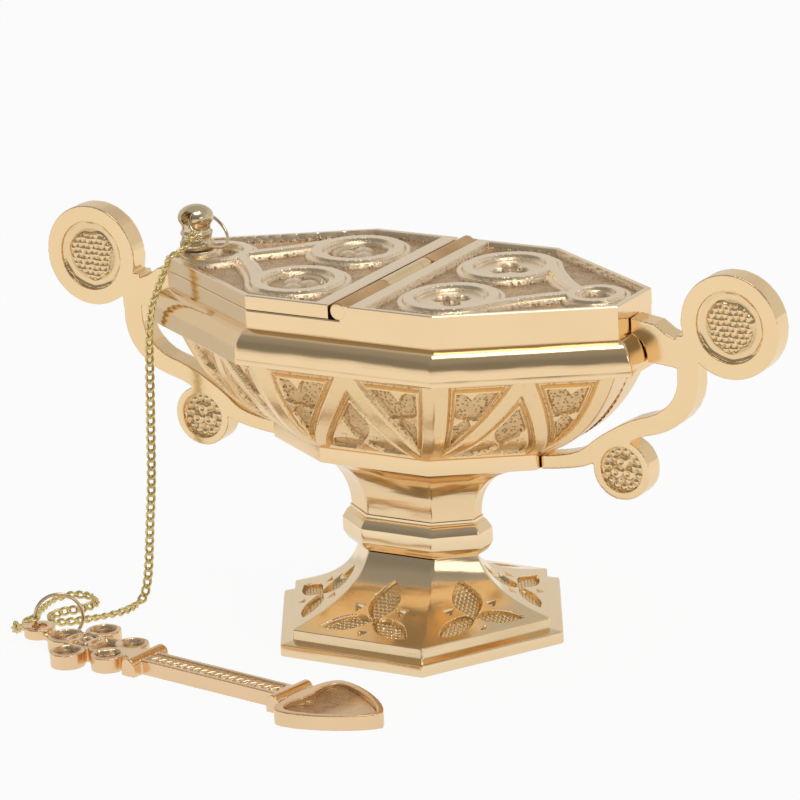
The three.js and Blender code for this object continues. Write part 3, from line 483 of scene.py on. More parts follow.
def make_bowl():
    counts, radius = HULL_COUNTS, 0.55
    side, share = side_of_columns(counts)
    neck = []
    for t in np.linspace(0, 1, 26):
        u = cubic(0.0, 0.0, 0.25, 1.0, t)
        z = cubic(NECK_BASE, NECK_BASE + 8.0, NECK_BASE + 13.76, BAND_BASE, t)
        neck.append((mix(STEM, BAND, u), z))
    band = [(grow(BAND, BAND_LEDGE * k), z) for k, z in
            ((0.2, BAND_BASE + 0.02), (0.9, BAND_BASE + 0.06), (1, BAND_BASE + 0.35), (1, BAND_TOP - 0.4),
             (0.9, BAND_TOP - 0.12), (0.4, BAND_TOP - 0.02))]
    shares = np.linspace(0, 1, HULL_ROWS)
    hull = hull_levels(0.0, shares)
    cornice = [(grow(LID, d), z) for d, z in
               ((OVOLO_SWELL - 2.2, FILLET_BASE + 0.02), (OVOLO_SWELL - 0.2, FILLET_BASE + 0.05),
                (OVOLO_SWELL, FILLET_BASE + 0.3), (OVOLO_SWELL + 0.02, OVOLO_BASE - 0.25),
                (OVOLO_SWELL - 0.1, OVOLO_BASE), (OVOLO_SWELL - 0.1, OVOLO_BASE + 0.1))]
    for k in range(1, 16):
        climb = k / 15
        swell = (OVOLO_SWELL - 0.1) * math.sqrt(max(0.0, 1 - climb ** 2))
        cornice.append((grow(LID, swell), OVOLO_BASE + 0.1 + climb * (RIM_BASE - OVOLO_BASE - 0.1)))
    rim = [(grow(LID, d), z) for d, z in
           ((-0.1, RIM_BASE + 0.05), (-0.03, RIM_BASE + 1.0), (0.0, RIM_BASE + 2.2), (0.0, RIM_TOP - 1.2),
            (-0.02, RIM_TOP - 0.3), (-0.25, RIM_TOP),
            (-WALL + 0.3, RIM_TOP), (-WALL, RIM_TOP - 0.3), (-WALL, OVOLO_BASE + 1.0))]
    inner = hull_levels(-WALL, np.linspace(1, 0.16, 16))
    floor = [(grow(inner[-1][0], -k), CAVITY_FLOOR) for k in (1.0, 8.0)]
    first, after = len(neck + band), len(neck + band + hull)
    levels = neck + band + hull + cornice + rim + inner + floor
    grid = loft_grid(levels, counts, radius)
    depth, sunk = np.zeros(grid.shape[:2]), np.zeros(grid.shape[:2])
    for k in range(8):
        columns = side == k
        wide, tall = np.meshgrid(share[columns], shares)
        block = np.ix_(range(first, after), np.where(columns)[0])
        depth[block], sunk[block] = face_marks(HULL_WIDTHS[k], HULL_LENGTHS[k], wide, tall)
    grid[first:after] -= normals_of(grid[first:after]) * depth[first:after, :, None]
    columns = grid.shape[1]
    data = new_mesh("bowl_mesh", grid, closed_faces(len(levels), columns), HULL_BRASS, 32.0, sunk.ravel())
    data.materials.append(POLISHED)
    row_of = np.repeat(np.arange(len(levels) - 1), columns)
    plain = ((row_of < first - 1) | (row_of >= after - 1)).astype(int).tolist() + [1, 1]
    data.polygons.foreach_set("material_index", plain)
    return piece("bowl_shell", data, "root", ["bowl"])


# Knop and foot
def make_knop():
    turns = [(0, 0), (0.2, 0.02), (0.5, 0.08), (0.85, 0.21), (0.98, 0.28), (1, 0.31), (1, 0.64), (0.97, 0.67),
             (0.72, 0.77), (0.47, 0.87), (0.42, 0.88), (0.2, 0.92), (0.16, 0.94), (0.16, 1.0)]
    counts = [14, 14, 6, 14, 14, 14, 6, 14]
    low, high = KNOP_BASE - JOINT_CLOSED, KNOP_TOP + JOINT_CLOSED
    levels = [(grow(STEM, s * KNOP_SWELL), low + h * (high - low)) for s, h in turns]
    grid = loft_grid(levels, counts, 0.5)
    data = new_mesh("knop_mesh", grid, closed_faces(*grid.shape[:2]), FOOT_BRASS, 28.0)
    return piece("knop_ring", data, "root", ["knop"])


def hexagon(reach):
    return (reach / 2, reach * math.sqrt(0.75), reach, 0.0)


def beads(x, y, pitch, radius):
    """Close-set small domes in staggered rows."""
    row = pitch * math.sqrt(3)
    away = np.hypot(x - pitch * np.round(x / pitch), y - row * np.round(y / row))
    for_shifted = np.hypot(x - pitch * (np.floor(x / pitch) + 0.5), y - row * (np.floor(y / row) + 0.5))
    return dome(np.minimum(away, for_shifted), radius)


LEAF_SINK, BEAD_RISE, PUNCH_SINK, MEETING_SINK = 1.45, 0.5, 0.95, 0.9
BEAD_PITCH, BEAD_RADIUS = 1.25, 0.64
FOOT_ROWS, FOOT_FALL, FOOT_WALL, FOOT_RIM = 160, 5.6, 2.4, 3.4


def foot_marks(x, y):
    """Three leaves that meet below the middle of a foot face, and three small punches."""
    heart = (0.0, 9.2)
    depth, sunk = np.zeros_like(x), np.zeros_like(x)
    leaves = [((0.0, 15.4), math.pi / 2, 6.8, 4.1), ((-6.2, 6.2), math.radians(205), 7.2, 3.2),
              ((6.2, 6.2), math.radians(-25), 7.2, 3.2)]
    for centre, angle, half_length, half_width in leaves:
        inside = inside_leaf(x, y, centre, angle, half_length, half_width)
        cut = smooth(inside, 0.7)
        bead = beads(x, y, BEAD_PITCH, BEAD_RADIUS) * smooth(inside - 0.6, 0.3)
        depth = np.maximum(depth, LEAF_SINK * cut - BEAD_RISE * bead)
        sunk = np.maximum(sunk, cut * (1 - 0.9 * bead))
    for centre, angle, size in (((-6.2, 12.6), 2.6, 2.1), ((6.2, 12.6), 0.55, 2.1), ((0.0, 2.9), -1.57, 1.9)):
        cut = smooth(inside_punch(x, y, centre, angle, size), 0.9)
        depth, sunk = np.maximum(depth, PUNCH_SINK * cut), np.maximum(sunk, 0.4 * cut)
    meet = smooth(1.6 - np.hypot(x - heart[0], y - heart[1]), 0.8)
    return np.maximum(depth, MEETING_SINK * meet), np.maximum(sunk, meet)


def make_foot():
    counts, radius = [190] * 6, 0.6
    plinth, step = hexagon(PLINTH_REACH), hexagon(STEP_REACH)
    levels = [(grow(plinth, -FOOT_RIM), 0.0), (grow(plinth, -0.3), 0.0), (plinth, 0.3), (plinth, 2.85),
              (grow(plinth, -0.12), 3.12), (grow(plinth, -0.4), 3.2), (grow(step, 0.45), STEP_BASE - 0.05),
              (grow(step, 0.1), STEP_BASE), (step, STEP_BASE + 0.2), (step, STEP_TOP - 0.35),
              (grow(step, -0.12), STEP_TOP - 0.1)]
    first, height = len(levels), FOOT_TOP - STEP_TOP
    last = math.exp(-height / FOOT_FALL)
    for way in np.linspace(0, 1, FOOT_ROWS):
        z = STEP_TOP + height * way ** 1.5
        levels.append((mix(COLLAR, step, (math.exp(-(z - STEP_TOP) / FOOT_FALL) - last) / (1 - last)), z))
    grid = loft_grid(levels, counts, radius)
    side, share = side_of_columns(counts)
    flare = grid[first:]
    middle = flare[:, (side == 0) & (np.abs(share - 0.5) < 0.01)][:, 0]
    climb = np.r_[0, np.cumsum(np.linalg.norm(np.diff(middle, axis=0), axis=1))]
    depth, sunk = np.zeros(grid.shape[:2]), np.zeros(grid.shape[:2])
    for k in range(6):
        columns = np.where(side == k)[0]
        ends = flare[:, [columns[0], columns[-1]]]
        width = np.linalg.norm(ends[:, 1] - ends[:, 0], axis=1)
        x = (share[columns][None, :] - 0.5) * width[:, None]
        y = np.repeat(climb[:, None], len(columns), axis=1)
        block = np.ix_(range(first, len(levels)), columns)
        depth[block], sunk[block] = foot_marks(x, y)
    grid[first:] -= normals_of(flare) * depth[first:, :, None]
    inner = [(grow(plinth, -FOOT_RIM), 0.0), (grow(step, -FOOT_WALL), STEP_BASE)]
    inner += [(grow(mix(COLLAR, step, share), -FOOT_WALL), z) for share, z in ((0.45, 9.0), (0.1, 17.0))]
    hollow = loft_grid(inner, counts, radius)
    rows, columns = grid.shape[:2]
    outside = net(rows, columns) + [row_face(rows - 1, columns)]
    inside = net(len(inner), columns) + [row_face(len(inner) - 1, columns)]
    points, faces = joined((grid, outside), (hollow, [face[::-1] for face in inside]))
    dark = np.r_[sunk.ravel(), np.zeros(len(hollow) * columns)]
    data = new_mesh("foot_mesh", points, faces, FOOT_BRASS, 30.0, dark)
    return piece("foot_casting", data, "root", ["foot"])


# Lid halves: raised rings and straps with a ledge beside them, over a sunk ground
CURVE_POINTS, LID_ROWS, LID_COLUMNS = 14, 240, 300


def distance_to_line(x, y, points):
    best = np.full(np.shape(x), 1e9)
    for (ax, ay), (bx, by) in zip(points[:-1], points[1:]):
        dx, dy = bx - ax, by - ay
        t = np.clip(((x - ax) * dx + (y - ay) * dy) / (dx * dx + dy * dy), 0, 1)
        best = np.minimum(best, np.hypot(x - ax - t * dx, y - ay - t * dy))
    return best


def curve(p0, p1, p2):
    return [(quadratic(p0[0], p1[0], p2[0], t), quadratic(p0[1], p1[1], p2[1], t))
            for t in np.linspace(0, 1, CURVE_POINTS)]


def lid_half_width(x):
    flat, depth, reach, nose = LID
    return np.where(x < flat, depth, depth - (x - flat) * (depth - nose) / (reach - flat))


def lid_marks(x, y, opening):
    """x counts from the hinge outwards on either half."""
    border, hinge_bar, bow_band, knob_seat, ledge = 1.25, 3.9, 1.2, 4.7, 1.45
    ring_x, ring_y, ring_r, half_band = 21.7, 14.5, 10.35, 1.3
    tip_x, tip_r, tip_band = (54.4, 8.0, 1.15) if opening else (53.5, 6.0, 1.05)
    join = tip_x - tip_r
    strap = np.abs(np.hypot(x - tip_x, y) - tip_r) - tip_band
    for sign in (-1, 1):
        radius = np.hypot(x - ring_x, y - sign * ring_y)
        strap = np.minimum(strap, np.abs(radius - ring_r) - half_band)
        bow = curve((30.0, sign * 20.7), (37.5, sign * 9.0), (join + 0.6, sign * 1.1))
        strap = np.minimum(strap, distance_to_line(x, y, bow) - bow_band)
    if opening:
        strap = np.minimum(strap, np.hypot(x + KNOB_X, y) - knob_seat)
    slant = (LID[1] - LID[3]) / (LID[2] - LID[0])
    slope = 1 / math.hypot(1, slant)
    rim = np.minimum(LID[1] - np.abs(y), (lid_half_width(x) - np.abs(y)) * slope)
    rim = np.minimum(rim, LID[2] - x) - border
    edge = np.minimum(rim, x - LID_EDGE - hinge_bar)
    step, ground = 0.75, 1.0
    floor = step * smooth(strap, 0.3) + ground * smooth(strap - ledge, 0.35)
    field = (step + ground) * smooth(edge, 0.35)
    depth = np.minimum(floor, field)
    deep = np.clip((depth - step) / ground, 0, 1)
    lobe, lobe_out, arm_half, arm_r, flower_r, shelf_r, bowl_r = 2.5, 2.6, 0.8, 6.2, 8, 8.2, 8.6
    for sign in (-1, 1):
        dx, dy = x - ring_x, y - sign * ring_y
        radius = np.hypot(dx, dy)
        lobes = np.full(np.shape(x), -1e9)
        for k in range(3):
            angle = math.radians(90 + 120 * k) * sign + (0.0 if opening else 0.5)
            away = np.hypot(dx - lobe_out * math.cos(angle), dy - lobe_out * math.sin(angle))
            lobes = np.maximum(lobes, lobe - away)
        if opening:
            bump = np.sqrt(np.clip(lobes / lobe, 0, 1)) * 1.2
            arm = arm_half - np.abs(radius - arm_r)
            arm = np.where(np.sin(np.arctan2(dy, dx) * 1.5 + sign) > 0.2, arm, -1)
            bump = np.maximum(bump, np.sqrt(np.clip(arm / arm_half, 0, 1)) * 0.8)
            depth = np.where(radius < flower_r, depth - bump, depth)
            deep = np.where(radius < flower_r, np.clip(deep - bump, 0, 1), deep)
        else:
            shelf = smooth(shelf_r - radius, 0.3)
            lower = smooth(lobes, 0.35)
            depth = np.where(radius < bowl_r, (1 - shelf) * depth + shelf * (1.15 + 0.95 * lower), depth)
            deep = np.where(radius < bowl_r, np.maximum(deep * (1 - shelf), lower), deep)
    return depth, deep


def make_lid(side):
    opening = side < 0
    inset, chamfer = 0.25, 0.25
    proud = 0.0 if opening else SKIRT_PROUD
    outwards, sideways = np.linspace(LID_EDGE, LID[2], LID_ROWS), np.linspace(-1, 1, LID_COLUMNS)
    row_level, column_level = (np.array([2, 1] + [0] * len(line) + [1, 2]) for line in (outwards, sideways))
    near, far = outwards[0], outwards[-1]
    row_x = np.r_[near, near, near + inset, outwards[1:-1], far - inset, far + proud, far + proud]
    column_share = np.r_[-1, -1, sideways, 1, 1]
    level = np.maximum(row_level[:, None], column_level[None, :])
    width = lid_half_width(row_x)[:, None] - np.where(level == 0, inset, -proud)
    x, y = np.repeat(row_x[:, None], len(column_share), axis=1), column_share[None, :] * width
    depth, deep = lid_marks(x, y, opening)
    top = LID_TOP - np.where(level == 0, depth, 0.0) - np.where(level == 1, chamfer, 0.0)
    z = np.where(level == 2, LID_BASE if opening else SKIRT_BASE, top)
    grid = np.stack([side * x, y, z], axis=2)
    if opening:
        grid, deep = grid[:, ::-1], deep[:, ::-1]
    rows, columns = grid.shape[:2]
    faces = [f[::-1] for f in net(rows, columns, False)]
    index = np.arange(rows * columns).reshape(rows, columns)
    loop = np.r_[index[0, :], index[1:, -1], index[-1, -2::-1], index[-2:0:-1, 0]]
    faces.append(tuple(int(v) for v in loop))
    name = "opening_lid" if opening else "fixed_lid"
    data = new_mesh(name + "_mesh", grid, faces, SATIN, 30.0, deep.ravel())
    data.materials.append(POLISHED)
    corner = level[:-1, :-1] + level[1:, :-1] + level[:-1, 1:] + level[1:, 1:]
    data.polygons.foreach_set("material_index", np.r_[(corner.ravel() >= 4).astype(int), 0])
    return piece(name + "_casting", data, "lid" if opening else "root", [name])


# Round pieces
def lathe(profile, segments, axis, place):
    """Turns (radius, height) pairs round an axis: 'z' upwards, 'y' towards the back."""
    grid = np.array([[(r * np.cos(a), r * np.sin(a), h) for a in full_turn(segments)] for r, h in profile])
    if axis == "y":
        grid = grid[..., [0, 2, 1]] * np.array([-1, 1, 1])
    return grid + np.array(place)


def with_modifiers(data, *modifiers):
    """A new mesh made of one and of modifiers, each given by its kind and its settings."""
    holder = bpy.data.objects.new("holder", data)
    SCENE.collection.objects.link(holder)
    for kind, settings in modifiers:
        step = holder.modifiers.new(kind, kind)
        for name, setting in settings.items():
            setattr(step, name, setting)
    graph = bpy.context.evaluated_depsgraph_get()
    made = bpy.data.meshes.new_from_object(holder.evaluated_get(graph))
    bpy.data.objects.remove(holder)
    return made


def cut_with_bar(data, radius, centre, span):
    """Bores a round hole along Y through a mesh."""
    segments = 48
    rings = [[(centre[0] - radius * np.cos(a), y, centre[1] + radius * np.sin(a))
              for a in full_turn(segments)] for y in span]
    cutter = bpy.data.objects.new("cutter", new_mesh("bar", rings, closed_faces(2, segments), AGED, 0))
    SCENE.collection.objects.link(cutter)
    made = with_modifiers(data, ("BOOLEAN", {"operation": "DIFFERENCE", "object": cutter, "solver": "EXACT"}))
    bpy.data.objects.remove(cutter)
    dress(made, AGED, None, 35.0)
    return made


def make_knob():
    profile = [(0.05, 0.3), (4.2, 0.3), (4.38, 0.45), (4.4, 0.8), (4.4, 1.55), (4.34, 1.75), (4.1, 2.1),
               (3.88, 2.6), (3.8, 3.1), (3.78, 3.5), (3.9, 3.72), (4.07, 3.95), (4.1, 4.2), (4.06, 4.45),
               (3.88, 4.66), (3.7, 4.85), (3.62, 5.1), (3.62, 5.8), (3.72, 6.15)]
    seat, steps, segments = math.asin(3.85 / BALL_RADIUS), 32, 72
    for k in range(1, steps + 1):
        angle = math.pi - seat - (math.pi - seat) * k / steps
        radius = max(0.02, BALL_RADIUS * math.sin(angle))
        profile.append((radius, BALL_RISE + BALL_HALF_HEIGHT * math.cos(angle)))
    grid = lathe(profile, segments, "z", (KNOB_X, 0, LID_TOP))
    data = new_mesh("knob_mesh", grid, closed_faces(len(profile), segments), AGED, 40.0)
    data = cut_with_bar(data, HOLE_RADIUS, (KNOB_X, LID_TOP + HOLE_RISE), (-6, 6))
    return piece("knob_turning", data, "lid", ["knob"])


def make_knuckles():
    """Each knuckle is a barrel with the leaf that joins it to its half of the lid."""
    half, r, segments = LID[1], BARREL_RADIUS, 56
    third, gap, bore = 2 * half / 3, 0.175, PIN_RADIUS + 0.1
    spans = [("hinge_knuckle_front", -half, -half + third, 1, "root", KNUCKLE_ROUGH),
             ("hinge_knuckle_middle", -half + third + gap, half - third - gap, -1, "lid", KNUCKLE_CLEAN),
             ("hinge_knuckle_rear", half - third + gap, half, 1, "root", KNUCKLE_ROUGH)]
    box = [(0, 1, 3, 2), (4, 6, 7, 5), (0, 4, 5, 1), (2, 3, 7, 6), (0, 2, 6, 4), (1, 5, 7, 3)]
    for name, start, end, side, body, material in spans:
        seam = start + (end - start) * 0.8
        profile = [(bore, start), (r - 0.25, start), (r - 0.05, start + 0.12), (r, start + 0.3)]
        profile += [(r, s) for s in np.linspace(start + 0.5, seam - 0.2, 24)]
        if name == "hinge_knuckle_middle":
            profile += [(r, seam - 0.12), (r - 0.14, seam), (r, seam + 0.12)]
        profile += [(r, s) for s in np.linspace(seam + 0.3, end - 0.5, 8)]
        profile += [(r, end - 0.3), (r - 0.05, end - 0.12), (r - 0.25, end), (bore, end)]
        barrel = lathe(profile, segments, "y", (0, 0, HINGE_Z))
        reach = 2.78 if side > 0 else -2.5
        heights = (SKIRT_BASE, LID_TOP - 0.02) if side > 0 else (HINGE_Z - 1.1, HINGE_Z + 1.1)
        leaf = [(x, y, z) for x in (0.4 * side, reach) for y in (start + 0.02, end - 0.02) for z in heights]
        points, faces = joined((barrel, closed_faces(len(profile), segments)), (leaf, box))
        data = new_mesh(name + "_mesh", points, faces, material, 40.0)
        data.materials.append(POLISHED)
        ends = [int(abs(face.normal.y) > 0.9) for face in data.polygons]
        data.polygons.foreach_set("material_index", ends)
        piece(name + "_barrel", data, body, [name])


def make_pin_ends():
    """The two peened ends of the pin, one in each end of the barrel."""
    r, segments, heads = PIN_RADIUS + 0.05, 32, []
    profile = [(0.02, 0.02), (0.4, 0.03), (0.75, 0.12), (r, 0.3), (r, 1.0)]
    for way in (1, -1):
        rows = [(radius, way * (inward - LID[1])) for radius, inward in profile][::way]
        heads.append((lathe(rows, segments, "y", (0, 0, HINGE_Z)), closed_faces(len(rows), segments)))
    data = new_mesh("hinge_pin_mesh", *joined(*heads), KNUCKLE_CLEAN, 40.0)
    piece("hinge_pin_ends", data, "root", ["hinge_pin"])


# Wire rings and the chain's last link
RING_STEPS, ROUND_STEPS = 72, 14
KNOB_RING_LEAN, KNOB_RING_DROP, KNOB_RING_RADIUS, KNOB_RING_WIRE = 46, 4.95, 5.8, 0.4
RING_TURN, RING_LIFT, RING_RADIUS, RING_WIRE = 33, 6.5, 6.0, 0.45
EYE_MIDDLE = 1.9 + 1.35
END_LINK_RADIUS, END_LINK_WIRE, END_LINK_SLOPE, END_LINK_PLAY = 2.1, 0.35, 0.2, 0.3
SIDEWAYS, UPRIGHT = np.array((0, 1, 0)), np.array((0, 0, 1))


def torus_faces(segments, round_steps, start=0):
    faces = []
    for s in range(segments):
        for r in range(round_steps):
            here, after = start + s * round_steps, start + (s + 1) % segments * round_steps
            q = (r + 1) % round_steps
            faces.append((here + r, after + r, after + q, here + q))
    return faces


def make_ring(name, centre, radius, wire, across, up, body, node, material):
    """A wire ring in the plane of two directions."""
    normal = np.cross(across, up)
    grid = []
    for a in full_turn(RING_STEPS):
        out = across * math.cos(a) + up * math.sin(a)
        grid.append([centre + out * (radius + wire * math.cos(b)) + normal * wire * math.sin(b)
                     for b in full_turn(ROUND_STEPS)])
    data = new_mesh(name + "_mesh", grid, torus_faces(RING_STEPS, ROUND_STEPS), material, 0)
    return piece(name, data, body, [node])


def make_rings():
    """The knob's ring leans out of its hole and the spoon's ring stands in its eye. Gives the last link."""
    lean, turn = math.radians(KNOB_RING_LEAN), math.radians(RING_TURN)
    down = np.array((math.sin(lean), 0, -math.cos(lean)))
    hole = np.array((KNOB_X, 0, LID_TOP + HOLE_RISE))
    make_ring("knob_wire_ring", hole + down * KNOB_RING_DROP, KNOB_RING_RADIUS, KNOB_RING_WIRE, down,
              SIDEWAYS, "knob_ring", "knob_ring", AGED)
    across = np.array((math.cos(turn), math.sin(turn), 0))
    out = math.sqrt(RING_RADIUS ** 2 - (RING_LIFT - EYE_MIDDLE) ** 2)
    centre = np.array((*SPOON_EYE, RING_LIFT)) + across * out
    make_ring("spoon_wire_ring", centre, RING_RADIUS, RING_WIRE, across, UPRIGHT, "spoon_ring", "spoon_ring",
              AGED)
    along, side = unit(-across + np.array((0, 0, -END_LINK_SLOPE))), np.cross(UPRIGHT, across)
    past_ring = END_LINK_RADIUS - END_LINK_WIRE - RING_WIRE - END_LINK_PLAY
    hook = centre - across * RING_RADIUS + along * past_ring
    return make_ring("chain_last_link", hook, END_LINK_RADIUS, END_LINK_WIRE, along, side, "root",
                     "chain_end_link", CHAIN)


# Chain: curb links strung along the same lines as in the solids
CHAIN_OVER_LID = [(-57.8, -7.3, 96.2), (-57.9, -8.5, 94.9), (-58, -10.2, 94.1), (-58.2, -12.2, 93.8),
                  (-58.6, -13.8, 93.4), (-58.9, -14.6, 92.8)]
CHAIN_DOWN = [(-59.2, -15.05, 92), (-59.9, -15.4, 90.2), (-61.9, -15.8, 86), (-64, -15.8, 81.4),
              (-65.8, -14.8, 76.6), (-67, -14, 71), (-67.6, -13.8, 63.9), (-68.3, -14, 49.5),
              (-69.2, -14.3, 32.3), (-70.4, -14.3, 22), (-71.7, -14.1, 11.5), (-72.6, -14.2, 5.6),
              (-73, -15.2, 2.6), (-73, -16.8, 1.5)]
CHAIN_ON_TABLE = [(-73, -17.5, 1.3), (-72.7, -20.6, 1.3), (-73.1, -24.4, 1.3), (-75, -28.6, 1.3),
                  (-77.8, -32.4, 1.3), (-81.2, -36.2, 1.3), (-85.2, -38.2, 1.3), (-88.2, -35.2, 1.3),
                  (-87.4, -30.8, 1.3), (-84.2, -27, 1.3), (-83.4, -22.4, 1.3), (-86.8, -18.6, 1.3),
                  (-91.8, -18.8, 1.3), (-94.4, -22.8, 1.3), (-94.2, -28.2, 1.3), (-93, -34, 1.3),
                  (-91.8, -39.8, 1.3), (-90.6, -45, 1.4), (-89.3, -49.4, 2.6), (-87.8, -52, 4.8)]
LINK_PITCH, LINK_HALF_LENGTH, LINK_HALF_WIDTH, LINK_WIRE = 2.25, 1.48, 0.86, 0.38
LINK_STEPS, WIRE_STEPS = 24, 8
LINK_POINTS = LINK_STEPS * WIRE_STEPS
LINE_STEP, END_SPACE, LINK_PLAY, CORD_WIDTH = 0.2, 0.7, 1.0, 0.0024
ACROSS_VIEW = (0.86, 0.52, 0)
HOOK_ON_RING = (-56.9, -6.0, 97.2)
LYING_RUNS = ("chain_lying_first", "chain_lying_loop", "chain_lying_end")


def between(t, low, high, one, other):
    """The place on a straight line that is at one when t is low and at the other when t is high."""
    return (high - t) / (high - low) * one + (t - low) / (high - low) * other


def spline(points):
    """Smooth line through points, cut into even steps."""
    p = np.array(points, float)
    p = np.vstack([2 * p[0] - p[1], p, 2 * p[-1] - p[-2]])
    line = []
    for a, b, c, d in zip(p[:-3], p[1:-2], p[2:-1], p[3:]):
        knots = np.cumsum([0] + [max(1e-6, np.linalg.norm(q)) ** 0.5 for q in (b - a, c - b, d - c)])
        for t in np.linspace(knots[1], knots[2], 24, endpoint=False):
            ab, bc = between(t, knots[0], knots[1], a, b), between(t, knots[1], knots[2], b, c)
            cd = between(t, knots[2], knots[3], c, d)
            abc, bcd = between(t, knots[0], knots[2], ab, bc), between(t, knots[1], knots[3], bc, cd)
            line.append(between(t, knots[1], knots[2], abc, bcd))
    line = np.array(line + [p[-2]])
    run = np.r_[0, np.cumsum(np.linalg.norm(np.diff(line, axis=0), axis=1))]
    even = np.linspace(0, run[-1], max(2, int(run[-1] / LINE_STEP)))
    return np.stack([np.interp(even, run, line[:, k]) for k in range(3)], axis=1), run[-1]


def curb_link(centre, along, side, lift):
    """Oval link twisted a quarter turn from end to end, so that each hooks the next one squarely."""
    turn, rim = full_turn(LINK_STEPS), full_turn(WIRE_STEPS)
    twist = np.cos(turn) * math.radians(45)
    flat = np.outer(np.cos(twist), side) + np.outer(np.sin(twist), lift)
    wire = centre + np.outer(np.cos(turn) * LINK_HALF_LENGTH, along)
    wire = wire + flat * (np.sin(turn) * LINK_HALF_WIDTH)[:, None]
    heading = np.roll(wire, -1, axis=0) - np.roll(wire, 1, axis=0)
    heading /= np.linalg.norm(heading, axis=1, keepdims=True)
    away = wire - centre
    away -= heading * np.sum(away * heading, axis=1, keepdims=True)
    away /= np.linalg.norm(away, axis=1, keepdims=True)
    across = np.cross(heading, away)
    around = np.cos(rim)[None, :, None] * away[:, None] + np.sin(rim)[None, :, None] * across[:, None]
    return (wire[:, None] + LINK_WIRE * around).reshape(-1, 3)


def chain_run(points, side, roll):
    """Links along a line; roll gives their turn about it, in degrees, from the share of the way and the
    link's number. Gives the points of the links, the line and its length."""
    line, length = spline(points)
    count = max(2, int(round((length - LINK_PLAY) / LINK_PITCH)))
    run = np.linspace(0, length, len(line))
    vertices = []
    for number, place in enumerate(np.linspace(END_SPACE, length - END_SPACE, count)):
        centre, ahead, behind = (np.array([np.interp(spot, run, line[:, k]) for k in range(3)])
                                 for spot in (place, min(length, place + 0.5), max(0, place - 0.5)))
        along = unit(ahead - behind)
        side = unit(side - along * along.dot(side))
        turn = math.radians(roll(place / length, number))
        flat = side * math.cos(turn) + np.cross(along, side) * math.sin(turn)
        vertices.append(curb_link(centre, along, flat, np.cross(along, flat)))
    return np.vstack(vertices), line, length


def links_piece(name, vertices, body, node):
    faces = [face for start in range(0, len(vertices), LINK_POINTS)
             for face in torus_faces(LINK_STEPS, WIRE_STEPS, start)]
    return piece(name, new_mesh(name + "_mesh", vertices, faces, CHAIN, 0), body, [node])


def roll_over_lid(share, number):
    return 20 + 40 * share


def roll_hanging(share, number):
    """Turned aside beside the rim, and flat to the front below it."""
    return 62 * (1 - smooth(share - 0.1, 0.28)) + 6 * math.sin(number * 1.7)


def roll_lying(share, number):
    return 58 + 16 * math.sin(number * 0.9)


def make_chain():
    vertices = chain_run([HOOK_ON_RING] + CHAIN_OVER_LID, ACROSS_VIEW, roll_over_lid)[0]
    links_piece("chain_on_lid", vertices, "lid", "chain_top")
    vertices, line, length = chain_run(CHAIN_DOWN, ACROSS_VIEW, roll_hanging)
    links = links_piece("chain_hanging_links", vertices, "chain", "chain_hanging")
    make_lying_chain()


def make_lying_chain():
    """Links lying on the table, cut into runs one after another."""
    vertices, line, length = chain_run(CHAIN_ON_TABLE, (1, 0, 0), roll_lying)
    for number, name in enumerate(LYING_RUNS):
        shares = (number / len(LYING_RUNS), (number + 1) / len(LYING_RUNS))
        first, last = (round(len(vertices) // LINK_POINTS * share) * LINK_POINTS for share in shares)
        links = links_piece(name, vertices[first:last], None, "chain_lying")
        first, last = (round((len(line) - 1) * share) for share in shares)
        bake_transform(links)


LAST_LINK = make_rings()
make_chain()


# Castings refined from the solids: rounded edges, then relief on the flat faces
HANDLE_VOXEL, SPOON_VOXEL = 0.24, 0.25
BERRY_RADIUS = 0.8


def refined(node, voxel, passes):
    made = with_modifiers(NODES[node].data.copy(), ("WELD", {"merge_threshold": 1e-6}),
                          ("REMESH", {"mode": "VOXEL", "voxel_size": voxel * MM}),
                          ("SMOOTH", {"factor": 0.5, "iterations": passes}))
    points = np.zeros(len(made.vertices) * 3, np.float32)
    made.vertices.foreach_get("co", points)
    return made, points.reshape(-1, 3).astype(float) / MM


def finish_casting(data, points, sunk, material):
    data.vertices.foreach_set("co", (points * MM).astype(np.float32).ravel())
    data.update()
    dress(data, material, sunk, 0)


def domes(dx, dz, centres, radius):
    height = np.zeros_like(dx)
    for cx, cz in centres:
        height = np.maximum(height, dome(np.hypot(dx - cx, dz - cz), radius))
    return height


def fruit(dx, dz, recess):
    """Round cluster of small berries on a low mound of uneven outline, with a plain moat round it."""
    radius, angle = np.hypot(dx, dz), np.arctan2(dz, dx)
    edge = recess * (0.72 + 0.05 * np.sin(3 * angle + 0.6) + 0.03 * np.sin(7 * angle))
    pitch, row, uneven, centres = 1.6, 1.6 * 0.866, 0.12, []
    for i in range(-6, 7):
        for j in range(-6, 7):
            x, z = pitch * (i + 0.5 * (j % 2)), row * j
            if math.hypot(x, z) < recess * 0.66:
                centres.append((x + uneven * math.sin(5 * i + 3 * j), z + uneven * math.sin(4 * i - 7 * j)))
    mound = smooth(edge - radius, 0.5)
    lip = smooth(radius - recess * 0.9, 0.5) * (1 + 0.5 * np.sin(9 * angle))
    return mound * (0.3 + 0.65 * domes(dx, dz, centres, BERRY_RADIUS)) + 0.25 * lip


